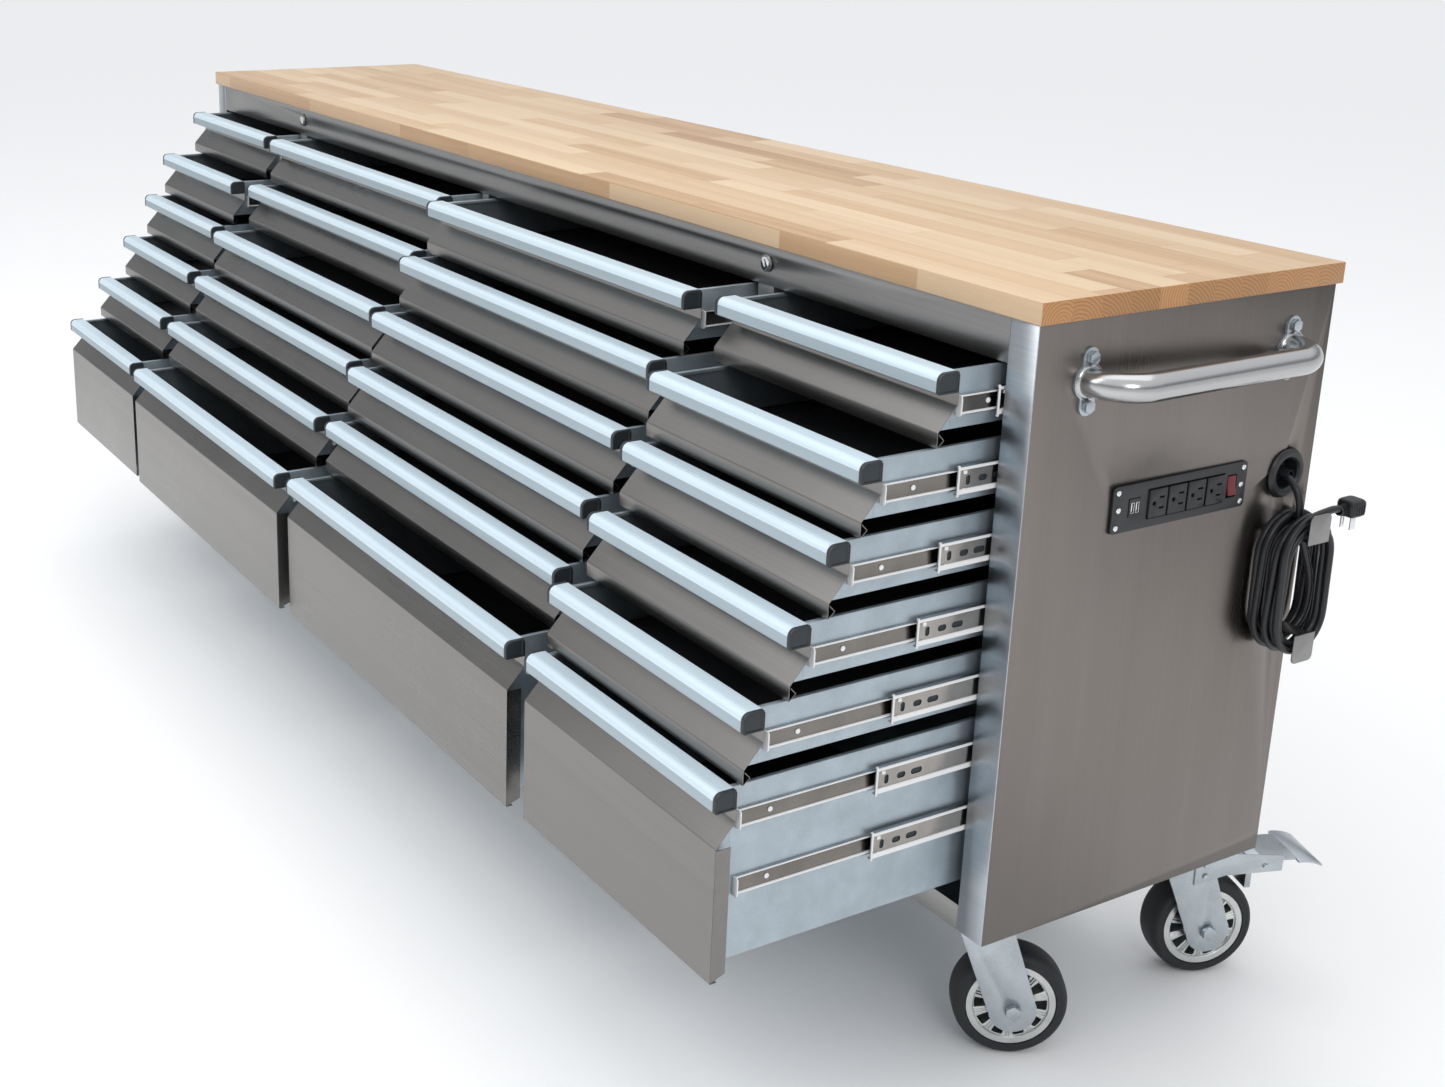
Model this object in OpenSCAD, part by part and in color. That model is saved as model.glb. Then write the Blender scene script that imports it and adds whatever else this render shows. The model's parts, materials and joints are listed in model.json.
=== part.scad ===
// Rolling tool chest with a wooden worktop, four columns of drawers, a push handle,
// a power strip with its coiled lead, and six swivel casters.
// Drawn with X along the worktop, Y from the front to the back and Z up from the floor.

/* [Worktop] */
// Length of the worktop
top_l = 2438; // [2000:1:3000]
// Depth of the worktop
top_d = 475; // [440:1:600]
// Thickness of the worktop
top_t = 25; // [15:1:45]
// Overhang of the worktop at each end
end_lap = 5; // [0:0.5:20]
// Overhang of the worktop at the front
front_lap = 4; // [0:0.5:20]
// Overhang of the worktop at the back
back_lap = 5; // [0:0.5:20]

/* [Cabinet] */
// Height of the cabinet without the worktop
cab_h = 733; // [700:1:900]
// Thickness of the cabinet's sheet metal
sheet = 1.2; // [0.8:0.1:2]
// Thickness of the back panel, whose weight holds the chest upright with the drawers open
back_sheet = 2.5; // [1.2:0.1:4]
// Width of the folded stile at each end of the front
stile_w = 42; // [30:1:60]
// Width of the divider between a narrow and a wide column
side_divider_w = 32; // [24:1:50]
// Width of the divider between the two wide columns
centre_divider_w = 20; // [14:1:40]
// Clear width of each outer, narrow bay
narrow_bay = 410; // [330:1:500]
// Height of the front rail above the drawers
top_rail_h = 50; // [40:1:80]
// Height of the front rail below the drawers
bottom_rail_h = 32; // [20:1:45]

/* [Drawers] */
// Height from one drawer to the next
row_pitch = 83.5; // [80:0.5:100]
// Gap between one drawer front and the next below it
row_gap = 2; // [1:0.5:4]
// Gap between a drawer front and the bay at each side
side_gap = 2; // [1:0.5:4]
// Gap between the deep drawer's front and the rail below it
bottom_gap = 6; // [2:0.5:12]
// Depth of the pull from front to back
pull_d = 26; // [18:1:40]
// Height of the pull
pull_h = 23; // [16:1:28]
// Radius of the pull's front upper edge
pull_r = 9; // [4:1:14]
// Length of the moulded cap at each end of the pull
cap_w = 6; // [3:1:12]
// Height of the upright part of the front under the pull
neck_h = 14; // [8:1:18]
// Height of the sloped part of the front
slope_h = 27; // [15:1:30]
// Thickness of the drawer's sheet metal
box_sheet = 0.8; // [0.6:0.1:2]
// Length of the drawer box from the front plate to the back
box_d = 420; // [300:1:440]
// Height of a shallow drawer's walls
shallow_wall = 64; // [50:1:66]
// How far a deep drawer's floor stands above the lower edge of its front
deep_lift = 18; // [10:1:30]
// Thickness of the pull's metal
pull_wall = 1.5; // [1:0.5:4]
// Width of the folded edge at each end of a deep front
flange_w = 20; // [10:1:30]
// How far each drawer of the left column stands open, from the top
open_1 = [74, 144, 187, 238, 296, 360]; // [0:1:380]
// How far each drawer of the left middle column stands open
open_2 = [79, 126, 198, 239, 296, 366]; // [0:1:380]
// How far each drawer of the right middle column stands open
open_3 = [111, 160, 209, 251, 290, 357]; // [0:1:380]
// How far each drawer of the right column stands open
open_4 = [90, 186, 222, 267, 321, 352]; // [0:1:380]

/* [Slides] */
// Space for a slide between a drawer box and its bay
slide_t = 13; // [12:0.5:16]
// Height of the slide member on the cabinet
slide_h = 37; // [32:1:46]
// Depth of the slide member on the cabinet
slide_d = 11; // [9:0.5:12]
// Length of the slides
slide_l = 396; // [280:1:420]
// Height of the slide member on the drawer
runner_h = 23; // [18:1:26]
// Thickness of the slide member on the drawer
runner_t = 3; // [2:0.5:4]
// Height from the top of a drawer down to the middle of its slides
slide_drop = 40; // [36:1:44]
// Height from a deep drawer's upper slides down to its lower slides
lower_drop = 80; // [60:1:110]

/* [Handle] */
// Outer diameter of the handle's tube
handle_tube = 32; // [22:1:40]
// Distance between the middles of the handle's two feet
handle_l = 321; // [240:1:400]
// Height of the handle's middle below the top of the cabinet
handle_drop = 69; // [60:1:120]
// Distance from the side panel to the middle of the tube
handle_out = 50; // [44:1:80]
// Distance from the front of the side panel to the first foot
handle_y = 76; // [55:1:120]
// Distance between the two bolts of a foot
foot_pitch = 54; // [50:1:70]

/* [Power strip] */
// Length of the power strip's face plate
strip_l = 216; // [200:1:300]
// Height of the face plate
strip_h = 55; // [48:1:70]
// Height of the strip's middle below the top of the cabinet
strip_drop = 225; // [170:1:300]
// Distance from the front of the side panel to the strip
strip_y = 133; // [60:1:180]
// Distance from one outlet to the next
outlet_pitch = 31; // [30:0.5:40]

/* [Cord] */
// Diameter of the mains lead
cord_d = 9; // [7:0.5:11]
// Outer diameter of the grommet
grommet_d = 60; // [50:1:80]
// Distance from the front of the side panel to the grommet's middle
grommet_y = 420; // [380:1:440]
// Height of the grommet's middle below the top of the cabinet
grommet_drop = 224; // [150:1:300]
// Width of a hook's upturned tab
hook_w = 36; // [24:1:44]

/* [Casters] */
// Diameter of the wheels
wheel_d = 140; // [110:1:148]
// Width of a tyre
wheel_w = 46; // [30:1:50]
// Diameter of the rims
rim_d = 110; // [80:1:120]
// Height of the cabinet above the floor
caster_h = 212; // [200:1:260]
// Distance from a caster's swivel axis back to its axle
trail = 45; // [30:1:60]
// Distance from the end of the cabinet to the swivel axis
caster_x = 92; // [70:1:160]
// Distance from the front of the cabinet to the front swivel axis
caster_y = 84; // [70:1:120]
// Distance from the back of the cabinet to the rear swivel axis
caster_back = 44; // [42:1:100]
// Angle at which the front casters stand swivelled
front_swivel = 34; // [0:1:45]
// Angle at which the rear casters stand swivelled
rear_swivel = 22; // [0:1:45]

/* [Hidden] */

$fn = 64;
// Gap that keeps two sheets of one drawer apart where they are riveted together
seam = 0.2;
// Radial clearance of pins, axles and lock cylinders
running = 0.05;

// Cabinet
cab_l = top_l - 2 * end_lap;
cab_d = top_d - front_lap - back_lap;
half_l = cab_l / 2;
cab_front = front_lap;
cab_back = front_lap + cab_d;
cab_top = caster_h + cab_h;
side_flange = 22;

// Bays
rows = 6;
wide_bay = (cab_l - 2 * stile_w - 2 * side_divider_w - centre_divider_w) / 2 - narrow_bay;
bay_w = [narrow_bay, wide_bay, wide_bay, narrow_bay];
bay_x = [
    -half_l + stile_w,
    -centre_divider_w / 2 - wide_bay,
    centre_divider_w / 2,
    half_l - stile_w - narrow_bay
];

// Drawers
opening = [open_1, open_2, open_3, open_4];
rows_top = cab_top - top_rail_h - row_gap;
rows_floor = caster_h + bottom_rail_h + bottom_gap;
closed_y = cab_front + pull_d;
shallow_front = row_pitch - row_gap;
deep_front = rows_top - (rows - 1) * row_pitch - rows_floor;
slope_d = pull_d - 2 * box_sheet;
hem = 2;

// Slides
slide_y = closed_y + 14;

// Casters
axle_z = wheel_d / 2;
axle_r = 6;
plate_t = 4;
plate_z = caster_h - plate_t;
crown_t = 5;
kingpin_r = 9;
crown_z = plate_z - 8;
fork_t = 4;
fork_gap = wheel_w / 2 + 8;
fork_r = 29;
pivot_y = 112;
pivot_z = caster_h - 48;
pedal_reach = 190;
pedal_margin = 10;
caster_xs = [-half_l + caster_x, 0, half_l - caster_x];
front_axis_y = cab_front + caster_y;
rear_axis_y = cab_back - caster_back;

// Handle
handle_foot_y = cab_front + handle_y;
handle_z = cab_top - handle_drop;
foot_t = 3;
handle_bend = handle_out - foot_t - seam;
handle_tip = half_l + handle_out + handle_tube / 2;

// Power strip
strip_z = cab_top - strip_drop;
strip_front = cab_front + strip_y;
strip_plate = 2.5;
strip_end = 9;
strip_body_h = 37;
outlet_in = 14;
outlets = 4;
outlet_y = strip_front + 70;
usb_y = strip_front + 34;
usb_ports = [-3.75, 3.75];
switch_x = half_l - 4;
switch_y = strip_front + strip_l - 24;
switch_pin_r = 1.5;
switch_tilt = 7;

// Cord
grommet_z = cab_top - grommet_drop;
grommet_axis_y = cab_front + grommet_y;
grommet_depth = 18;
coil_back = half_l + 5;
coil_t = 45;
coil_y = grommet_axis_y + 4;
coil_z = grommet_z - 129;
coil_w = 100;
coil_l = 186;
coil_hole_w = 46;
coil_hole_l = 118;
// Route of the lead from the grommet to the coil: out from the panel, up or down from the
// grommet's middle
feed_route = [
    [-16, 0], [-8, 0], [0, -1], [8, -4], [15, -9], [21, -16], [25, -24], [27, -32], [27, -37]
];
// Route of the lead from the coil to the plug: back from the coil's middle, up from it
tail_route = [
    [4, 88], [14, 90], [24, 91], [33, 91], [42, 90]
];
tail_x = coil_back + 40;

// Origin under the middle of the whole chest as it stands
box_front = closed_y - max([for (c = opening) max(c)]) - pull_d;
box_back = rear_axis_y + pedal_reach * cos(rear_swivel) + pedal_margin;
origin_x = (handle_tip - top_l / 2) / 2;
origin_y = (box_front + box_back) / 2;

module in_frame() {
    translate([-origin_x, -origin_y, 0])
        children();
}

// Flat outline in Y and Z, given thickness along X from x
module yz_plate(x, t) {
    translate([x, 0, 0])
        rotate([90, 0, 90])
            linear_extrude(t)
                children();
}

module rounded_rect(w, h, r) {
    square([w - 2 * r, h], center = true);
    square([w, h - 2 * r], center = true);
    for (x = [-1, 1], y = [-1, 1])
        translate([x * (w / 2 - r), y * (h / 2 - r)])
            circle(r);
}

module stadium(w, l) {
    square([w, l - w], center = true);
    for (z = [-1, 1])
        translate([0, z * (l - w) / 2])
            circle(d = w);
}

// ---- Cabinet ----

module worktop() {
    color("burlywood")
        in_frame()
            translate([-top_l / 2, 0, cab_top])
                cube([top_l, top_d, top_t]);
}

// Folded end panel, drawn at the right: the panel, the front stile and the back flange
module end_panel(fittings) {
    difference() {
        union() {
            translate([half_l - sheet, cab_front, caster_h])
                cube([sheet, cab_d, cab_h]);
            translate([half_l - stile_w, cab_front, caster_h])
                cube([stile_w, sheet, cab_h]);
            translate([half_l - side_flange, cab_back - sheet, caster_h])
                cube([side_flange, sheet, cab_h]);
        }
        if (fittings) {
            translate([half_l - 5, strip_front + strip_end - 2, strip_z - strip_body_h / 2 - 2])
                cube([10, strip_l - 2 * strip_end + 4, strip_body_h + 4]);
            translate([half_l - 5, grommet_axis_y, grommet_z])
                rotate([0, 90, 0])
                    cylinder(d = grommet_d - 16, h = 10);
        }
    }
}

module right_side_panel() {
    color("silver")
        in_frame()
            end_panel(true);
}

module left_side_panel() {
    color("silver")
        in_frame()
            mirror([1, 0, 0])
                end_panel(false);
}

module back_panel() {
    inner = half_l - side_flange - seam;
    color("silver")
        in_frame()
            translate([-inner, cab_back - sheet, caster_h])
                cube([2 * inner, back_sheet, cab_h]);
}

module base_pan() {
    inner = half_l - sheet - seam;
    color("lightsteelblue")
        in_frame()
            translate([-inner, cab_front + sheet + seam, caster_h])
                cube([2 * inner, cab_d - 2 * (sheet + seam), 2 * sheet]);
}

lock_r = 8;
lock_z = cab_top - 22;
lock_xs = [bay_x[1] - side_divider_w / 2, bay_x[3] - side_divider_w / 2];

module front_rails() {
    inner = half_l - stile_w - seam;
    posts = [
        [bay_x[1] - side_divider_w, side_divider_w],
        [-centre_divider_w / 2, centre_divider_w],
        [bay_x[2] + bay_w[2], side_divider_w]
    ];
    post_z = caster_h + bottom_rail_h + seam;
    color("silver")
        in_frame() {
            difference() {
                translate([-inner, cab_front, cab_top - top_rail_h])
                    cube([2 * inner, sheet, top_rail_h]);
                for (x = lock_xs)
                    translate([x, cab_front - 1, lock_z])
                        rotate([-90, 0, 0])
                            cylinder(r = lock_r + 1, h = 5);
            }
            translate([-inner, cab_front, caster_h])
                cube([2 * inner, sheet, bottom_rail_h]);
            for (p = posts)
                translate([p[0], cab_front, post_z])
                    cube([p[1], sheet, cab_top - top_rail_h - seam - post_z]);
            for (x = lock_xs)
                lock_bezel(x);
        }
}

// Ring around a lock cylinder, standing on the front of the top rail
module lock_bezel(x) {
    translate([x, cab_front - seam, lock_z])
        rotate([90, 0, 0])
            difference() {
                cylinder(r = lock_r + 3, h = 2);
                translate([0, 0, -1])
                    cylinder(r = lock_r + running, h = 4);
            }
}

module lock_cylinder(x) {
    color("gainsboro")
        in_frame()
            difference() {
                translate([x, cab_front - 4, lock_z])
                    rotate([-90, 0, 0])
                        cylinder(r = lock_r, h = 24);
                translate([x - 0.7, cab_front - 5, lock_z - 4])
                    cube([1.4, 9, 8]);
            }
}

module lock_left() {
    lock_cylinder(lock_xs[0]);
}

module lock_right() {
    lock_cylinder(lock_xs[1]);
}

wall_z = caster_h + 2 * sheet + seam;
wall_h = cab_top - seam - wall_z;
wall_y = cab_front + sheet + seam;
wall_d = cab_d - 2 * (sheet + seam);

module divider_walls() {
    color("lightsteelblue")
        in_frame()
            for (c = [0:3], side = [0, 1])
                translate([bay_x[c] + side * (bay_w[c] + sheet) - sheet, wall_y, wall_z])
                    cube([sheet, wall_d, wall_h]);
}

// Heights of the middles of one column's slides
slide_zs = [
    for (r = [0:rows - 1]) rows_top - r * row_pitch - slide_drop,
    rows_top - (rows - 1) * row_pitch - slide_drop - lower_drop
];

// Slide member on the cabinet, a channel that opens towards the drawer at +X
module slide_channel() {
    difference() {
        translate([0, 0, -slide_h / 2])
            cube([slide_d, slide_l, slide_h]);
        translate([sheet, -1, sheet - slide_h / 2])
            cube([slide_d, slide_l + 2, slide_h - 2 * sheet]);
    }
}

module cabinet_slides() {
    color("gainsboro")
        in_frame()
            for (c = [0:3], z = slide_zs) {
                translate([bay_x[c] + seam, slide_y, z])
                    slide_channel();
                translate([bay_x[c] + bay_w[c] - seam, slide_y, z])
                    mirror([1, 0, 0])
                        slide_channel();
            }
}

// ---- Drawers ----

// Outline of the pull in Y and Z: its back at 0, its top at 0, its sides moved in by t
module pull_outline(t) {
    r = max(pull_r - t, 0.5);
    middle = [-pull_d + t + r, -t - r];
    translate([-pull_d + t, -pull_h + t])
        square([pull_d - 2 * t, pull_h - 2 * t - r]);
    translate([middle[0], middle[1]])
        square([pull_d - 2 * t - r, r]);
    translate(middle)
        circle(r);
}

// Bent front under the pull, in three flat parts, w long
module drawer_front(w, h) {
    top = -hem;
    knee = -pull_h - neck_h;
    foot = knee - slope_h;
    yz_plate(0, w)
        polygon([[0, knee], [box_sheet, knee], [box_sheet, top], [0, top]]);
    yz_plate(0, w)
        polygon([
            [0, knee - seam],
            [box_sheet, knee - seam],
            [box_sheet - slope_d, foot],
            [-slope_d, foot]
        ]);
    yz_plate(0, w)
        polygon([
            [-slope_d, -h],
            [box_sheet - slope_d, -h],
            [box_sheet - slope_d, foot - seam],
            [-slope_d, foot - seam]
        ]);
}

// Side wall with the gusset that reaches forward under the slope
module drawer_side(x, h) {
    knee = -pull_h - neck_h;
    start = box_sheet + seam;
    yz_plate(x, box_sheet)
        polygon([[start, -h], [box_d, -h], [box_d, -hem], [start, -hem]]);
    yz_plate(x, box_sheet)
        polygon([
            [start - seam, -h],
            [start - seam, knee - 2],
            [2 * box_sheet + seam - slope_d, knee - slope_h],
            [2 * box_sheet + seam - slope_d, -h]
        ]);
}

// Slide member on the drawer with its bent front tab, drawn on the drawer's left side
module runner(x, z) {
    translate([x - seam - runner_t, 10, z - runner_h / 2])
        cube([runner_t, slide_l, runner_h]);
    translate([x - seam - 9, 8, z - runner_h / 2])
        cube([9, 2 - seam, runner_h]);
}

// One drawer, drawn with its left end at X 0, the pull's back at Y 0 and its top at Z 0
module drawer_body(w, front_h, box_h, deep) {
    inset = slide_t - side_gap;
    inner_w = w - 2 * inset;
    reach = 2 * box_sheet + 2 * seam - slope_d;
    floor_z = -box_h - hem;
    drops = deep ? [slide_drop, slide_drop + lower_drop] : [slide_drop];
    yz_plate(cap_w, w - 2 * cap_w)
        translate([-seam, 0])
            difference() {
                pull_outline(0);
                pull_outline(pull_wall);
            }
    for (x = [0, w - cap_w + seam])
        yz_plate(x, cap_w - seam)
            translate([-seam, 0])
                pull_outline(0);
    drawer_front(w, front_h);
    if (deep)
        for (x = [0, w - box_sheet])
            translate([x, box_sheet - slope_d + seam, -front_h])
                cube([box_sheet, flange_w, front_h - pull_h - neck_h - slope_h - 3]);
    for (x = [inset, w - inset - box_sheet])
        drawer_side(x, box_h + hem);
    translate([inset + box_sheet + seam, box_d - box_sheet, floor_z + box_sheet + seam])
        cube([inner_w - 2 * (box_sheet + seam), box_sheet, box_h - box_sheet - seam]);
    translate([inset + box_sheet + seam, reach, floor_z])
        cube([inner_w - 2 * (box_sheet + seam), box_d - reach, box_sheet]);
    for (d = drops) {
        runner(inset, -d);
        translate([w, 0, 0])
            mirror([1, 0, 0])
                runner(inset, -d);
    }
}

// Drawer of column c from the left and row r from the top, both counted from 1
module drawer(c, r) {
    deep = r == rows;
    color("lightsteelblue")
        in_frame()
            translate([
                bay_x[c - 1] + side_gap,
                closed_y - opening[c - 1][r - 1],
                rows_top - (r - 1) * row_pitch
            ])
                drawer_body(
                    bay_w[c - 1] - 2 * side_gap,
                    deep ? deep_front : shallow_front,
                    deep ? deep_front - deep_lift - hem : shallow_wall,
                    deep
                );
}

// ---- Handle ----

module push_handle() {
    run = handle_l - 2 * handle_bend;
    color("silver")
        in_frame()
            translate([half_l + foot_t + seam, handle_foot_y, handle_z]) {
                for (side = [0, 1])
                    translate([0, side * handle_l, 0])
                        mirror([0, side, 0])
                            translate([0, handle_bend, 0])
                                rotate([0, 0, -90])
                                    rotate_extrude(angle = 90)
                                        translate([handle_bend, 0])
                                            difference() {
                                                circle(d = handle_tube);
                                                circle(d = handle_tube - 4);
                                            }
                translate([handle_bend, handle_bend, 0])
                    rotate([-90, 0, 0])
                        difference() {
                            cylinder(d = handle_tube, h = run);
                            translate([0, 0, -1])
                                cylinder(d = handle_tube - 4, h = run + 2);
                        }
            }
}

// Flat foot plate of the handle with its two hexagon bolts
module handle_foot() {
    rotate([90, 0, 90])
        linear_extrude(foot_t)
            difference() {
                union() {
                    stadium(22, foot_pitch + 22);
                    circle(d = handle_tube + 10);
                }
                for (z = [-1, 1])
                    translate([0, z * foot_pitch / 2])
                        circle(4);
            }
    for (z = [-1, 1])
        translate([foot_t + seam, 0, z * foot_pitch / 2])
            rotate([0, 90, 0]) {
                cylinder(r = 7.5, h = 5.5, $fn = 6);
                translate([0, 0, -foot_t])
                    cylinder(r = 3.8, h = foot_t + 1);
            }
}

module handle_fasteners() {
    color("gainsboro")
        in_frame()
            for (side = [0, 1])
                translate([half_l + seam / 2, handle_foot_y + side * handle_l, handle_z])
                    handle_foot();
}

// ---- Power strip ----

module power_strip() {
    mid = strip_front + strip_l / 2;
    color("dimgray")
        in_frame()
            difference() {
                union() {
                    translate([0, mid, strip_z])
                        yz_plate(half_l + seam, strip_plate)
                            rounded_rect(strip_l, strip_h, 5);
                    translate([half_l - 36, strip_front + strip_end, strip_z - strip_body_h / 2])
                        cube([37, strip_l - 2 * strip_end, strip_body_h]);
                }
                translate([half_l - outlet_in, outlet_y - 15, strip_z - 18])
                    cube([30, outlets * outlet_pitch, 36]);
                translate([half_l - outlet_in, usb_y - 9, strip_z - 11])
                    cube([30, 18, 22]);
                translate([half_l - 18, switch_y - 8, strip_z - 14])
                    cube([30, 16, 28]);
                translate([switch_x, switch_y - 11, strip_z])
                    rotate([-90, 0, 0])
                        cylinder(r = switch_pin_r + running, h = 22);
            }
}

// Outlet block with two slots and a round earth hole
module outlet_block(y) {
    difference() {
        translate([half_l - outlet_in, y - 14, strip_z - 16.5])
            cube([outlet_in + strip_plate + 2, 28, 33]);
        for (dz = [-6.35, 6.35])
            translate([half_l - 8, y + 2, strip_z + dz - 1.1])
                cube([30, 8, 2.2]);
        translate([half_l - 8, y - 6, strip_z])
            rotate([0, 90, 0])
                cylinder(r = 2.6, h = 30);
    }
}

module power_outlets() {
    color("black")
        in_frame() {
            for (i = [0:outlets - 1])
                outlet_block(outlet_y + i * outlet_pitch);
            difference() {
                translate([half_l - outlet_in, usb_y - 8.5, strip_z - 10.5])
                    cube([outlet_in + strip_plate + 1, 17, 21]);
                for (dy = usb_ports)
                    translate([half_l - 6, usb_y + dy - 2.25, strip_z - 6])
                        cube([30, 4.5, 12]);
            }
        }
}

// Rocker on its pin, tipped to one side as it stands
module power_switch() {
    color("red")
        in_frame()
            translate([switch_x, switch_y, strip_z])
                rotate([0, -switch_tilt, 0])
                    rotate([-90, 0, 0]) {
                        translate([0, 0, -6.5])
                            linear_extrude(13)
                                polygon([[-4, -9], [8, -11.5], [6.7, 0], [8, 11.5], [-4, 9]]);
                        translate([0, 0, -10.5])
                            cylinder(r = switch_pin_r, h = 21);
                    }
}

// ---- Cord ----

module cord_grommet() {
    hole_r = grommet_d / 2 - 8 - running;
    color("black")
        in_frame()
            translate([half_l, grommet_axis_y, grommet_z])
                rotate([0, 90, 0])
                    rotate_extrude()
                        polygon([
                            [0, -grommet_depth],
                            [hole_r - 0.3, -grommet_depth],
                            [hole_r - 0.3, seam],
                            [grommet_d / 2, seam],
                            [grommet_d / 2, 2],
                            [grommet_d / 2 - 3, 5],
                            [hole_r - 1, 5],
                            [hole_r - 3.5, 2],
                            [hole_r - 3.5, 2 - grommet_depth],
                            [0, 2 - grommet_depth]
                        ]);
}

hook_t = 2;
hook_out = coil_t + 10;
hook_stem = 22;
hook_tab = 36;
hook_gap = coil_hole_l / 2 - seam - hook_t;

// Hook with a flat foot on the panel, a stem through the coil and a tab that turns up
module cord_hook() {
    translate([half_l + seam / 2, 0, 0]) {
        translate([0, -hook_w / 2, -24])
            cube([hook_t, hook_w, 24 + hook_t]);
        translate([0, -hook_stem / 2, 0])
            cube([hook_out, hook_stem, hook_t]);
        translate([hook_out - hook_t, -hook_w / 2, 0])
            cube([hook_t, hook_w, hook_tab]);
    }
}

module cord_hooks() {
    color("silver")
        in_frame()
            translate([0, coil_y, coil_z])
                for (way = [0, 1])
                    mirror([0, 0, way])
                        translate([0, 0, hook_gap])
                            cord_hook();
}

cord_sides = 8;

// Ring of points square to direction t about point p, with its first point towards up
function cord_ring(p, t, up) =
    let (a = cross(t, up) / norm(cross(t, up)), b = cross(a, t) / norm(t))
    [for (i = [0:cord_sides - 1])
        p + cord_d / 2 * (a * cos(360 * i / cord_sides) + b * sin(360 * i / cord_sides))];

function along(path, i) = path[min(i + 1, len(path) - 1)] - path[max(i - 1, 0)];

// Round lead swept along a path
module cord_tube(path, up) {
    n = len(path);
    m = cord_sides;
    points = [for (i = [0:n - 1]) each cord_ring(path[i], along(path, i), up)];
    walls = [
        for (i = [0:n - 2], k = [0:m - 1]) each let (a = i * m + k, b = i * m + (k + 1) % m)
            [[a, b, b + m], [a, b + m, a + m]]
    ];
    first = [for (k = [0:m - 1]) m - 1 - k];
    last = [for (k = [0:m - 1]) (n - 1) * m + k];
    polyhedron(points, concat(walls, [first, last]));
}

module power_cord() {
    feed = [for (p = feed_route) [half_l + p[0], grommet_axis_y, grommet_z + p[1]]];
    tail = [for (p = tail_route) [tail_x, coil_y + p[0], coil_z + p[1]]];
    color("black")
        in_frame() {
            cord_tube(feed, [0, 1, 0]);
            cord_tube(tail, [1, 0, 0]);
        }
}

module cord_coil() {
    color("black")
        in_frame()
            translate([0, coil_y, coil_z])
                yz_plate(coil_back, coil_t)
                    difference() {
                        stadium(coil_w, coil_l);
                        rounded_rect(coil_hole_w, coil_hole_l, 9);
                    }
}

// Right-angle plug with two blades and an earth pin that point down
module plug() {
    last = tail_route[len(tail_route) - 1];
    color("black")
        in_frame()
            translate([tail_x, coil_y + last[0], coil_z + last[1]]) {
                rotate([-90, 0, 0])
                    cylinder(r1 = cord_d / 2 + 1, r2 = 8, h = 10);
                translate([-13, 10, -12])
                    cube([26, 27, 22]);
                for (dx = [-6.35, 6.35])
                    translate([dx - 0.75, 16, -27])
                        cube([1.5, 6.3, 16]);
                translate([0, 31, -30])
                    cylinder(r = 2.4, h = 19);
            }
}

// ---- Casters ----

// Places a caster's parts at its swivel axis, turned as it stands
module at_caster(column, rear) {
    in_frame()
        translate([caster_xs[column], rear ? rear_axis_y : front_axis_y, 0])
            rotate([0, 0, -(rear ? rear_swivel : front_swivel)])
                children();
}

module caster_plates() {
    color("gainsboro")
        in_frame()
            for (x = caster_xs, y = [front_axis_y, rear_axis_y])
                translate([x, y, plate_z]) {
                    translate([-52, -42, -seam])
                        cube([104, 84, plate_t]);
                    translate([0, 0, crown_z - plate_z - crown_t - 4])
                        cylinder(r = kingpin_r, h = plate_z - crown_z + crown_t + 4);
                    translate([0, 0, crown_z - plate_z - crown_t - 6])
                        cylinder(r = kingpin_r + 4, h = 4.5);
                    for (dx = [-40, 40], dy = [-30, 30])
                        translate([dx, dy, -5.5])
                            cylinder(r = 7, h = 5, $fn = 6);
                }
}

// Leg of a fork, leaning back from the crown to the axle
module fork_leg(x) {
    yz_plate(x, fork_t)
        difference() {
            union() {
                polygon([
                    [-30, crown_z],
                    [-30, crown_z - 14],
                    [trail - fork_r, axle_z - 4],
                    [trail + fork_r, axle_z + 4],
                    [36, crown_z - 14],
                    [36, crown_z]
                ]);
                translate([trail, axle_z])
                    circle(fork_r);
            }
            translate([trail, axle_z])
                circle(axle_r + running);
        }
}

// Axle bolt with its hexagon head and nut outside the legs
module axle_bolt() {
    out = fork_gap + fork_t;
    translate([0, trail, axle_z])
        rotate([0, 90, 0]) {
            translate([0, 0, -out - seam])
                cylinder(r = axle_r, h = 2 * out + 2 * seam);
            translate([0, 0, out + seam])
                cylinder(r = 10, h = 7, $fn = 6);
            translate([0, 0, -out - seam - 8])
                cylinder(r = 10, h = 8, $fn = 6);
        }
}

// Bracket plate that carries the brake pedal, outside a leg of the fork
module brake_bracket(x) {
    yz_plate(x, 2)
        difference() {
            polygon([
                [16, crown_z - 58],
                [16, crown_z - 22],
                [42, crown_z - 14],
                [pivot_y + 24, pivot_z + 14],
                [pivot_y + 24, pivot_z - 8],
                [58, crown_z - 46]
            ]);
            translate([pivot_y, pivot_z])
                circle(3 + running);
        }
}

module brake_mount() {
    side = fork_gap + fork_t + seam;
    brake_bracket(side);
    brake_bracket(-side - 2);
    translate([-side - 4, pivot_y, pivot_z])
        rotate([0, 90, 0])
            cylinder(r = 3, h = 2 * side + 8);
    for (way = [-1, 1], dz = [30, 46])
        translate([way * (side + 2 + seam), 30, crown_z - dz])
            rotate([0, way * 90, 0])
                cylinder(r = 4, h = 2.5);
}

module fork(column, rear) {
    color("gainsboro")
        at_caster(column, rear) {
            difference() {
                union() {
                    translate([-fork_gap - fork_t, -30, crown_z - crown_t])
                        cube([2 * (fork_gap + fork_t), 66, crown_t]);
                    cylinder(r = 26, h = plate_z - 1);
                    fork_leg(fork_gap);
                    fork_leg(-fork_gap - fork_t);
                }
                translate([0, 0, -1])
                    cylinder(r = 27, h = crown_z - crown_t + 1);
                cylinder(r = kingpin_r + running, h = plate_z + 1);
            }
            axle_bolt();
            if (rear)
                brake_mount();
        }
}

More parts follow.
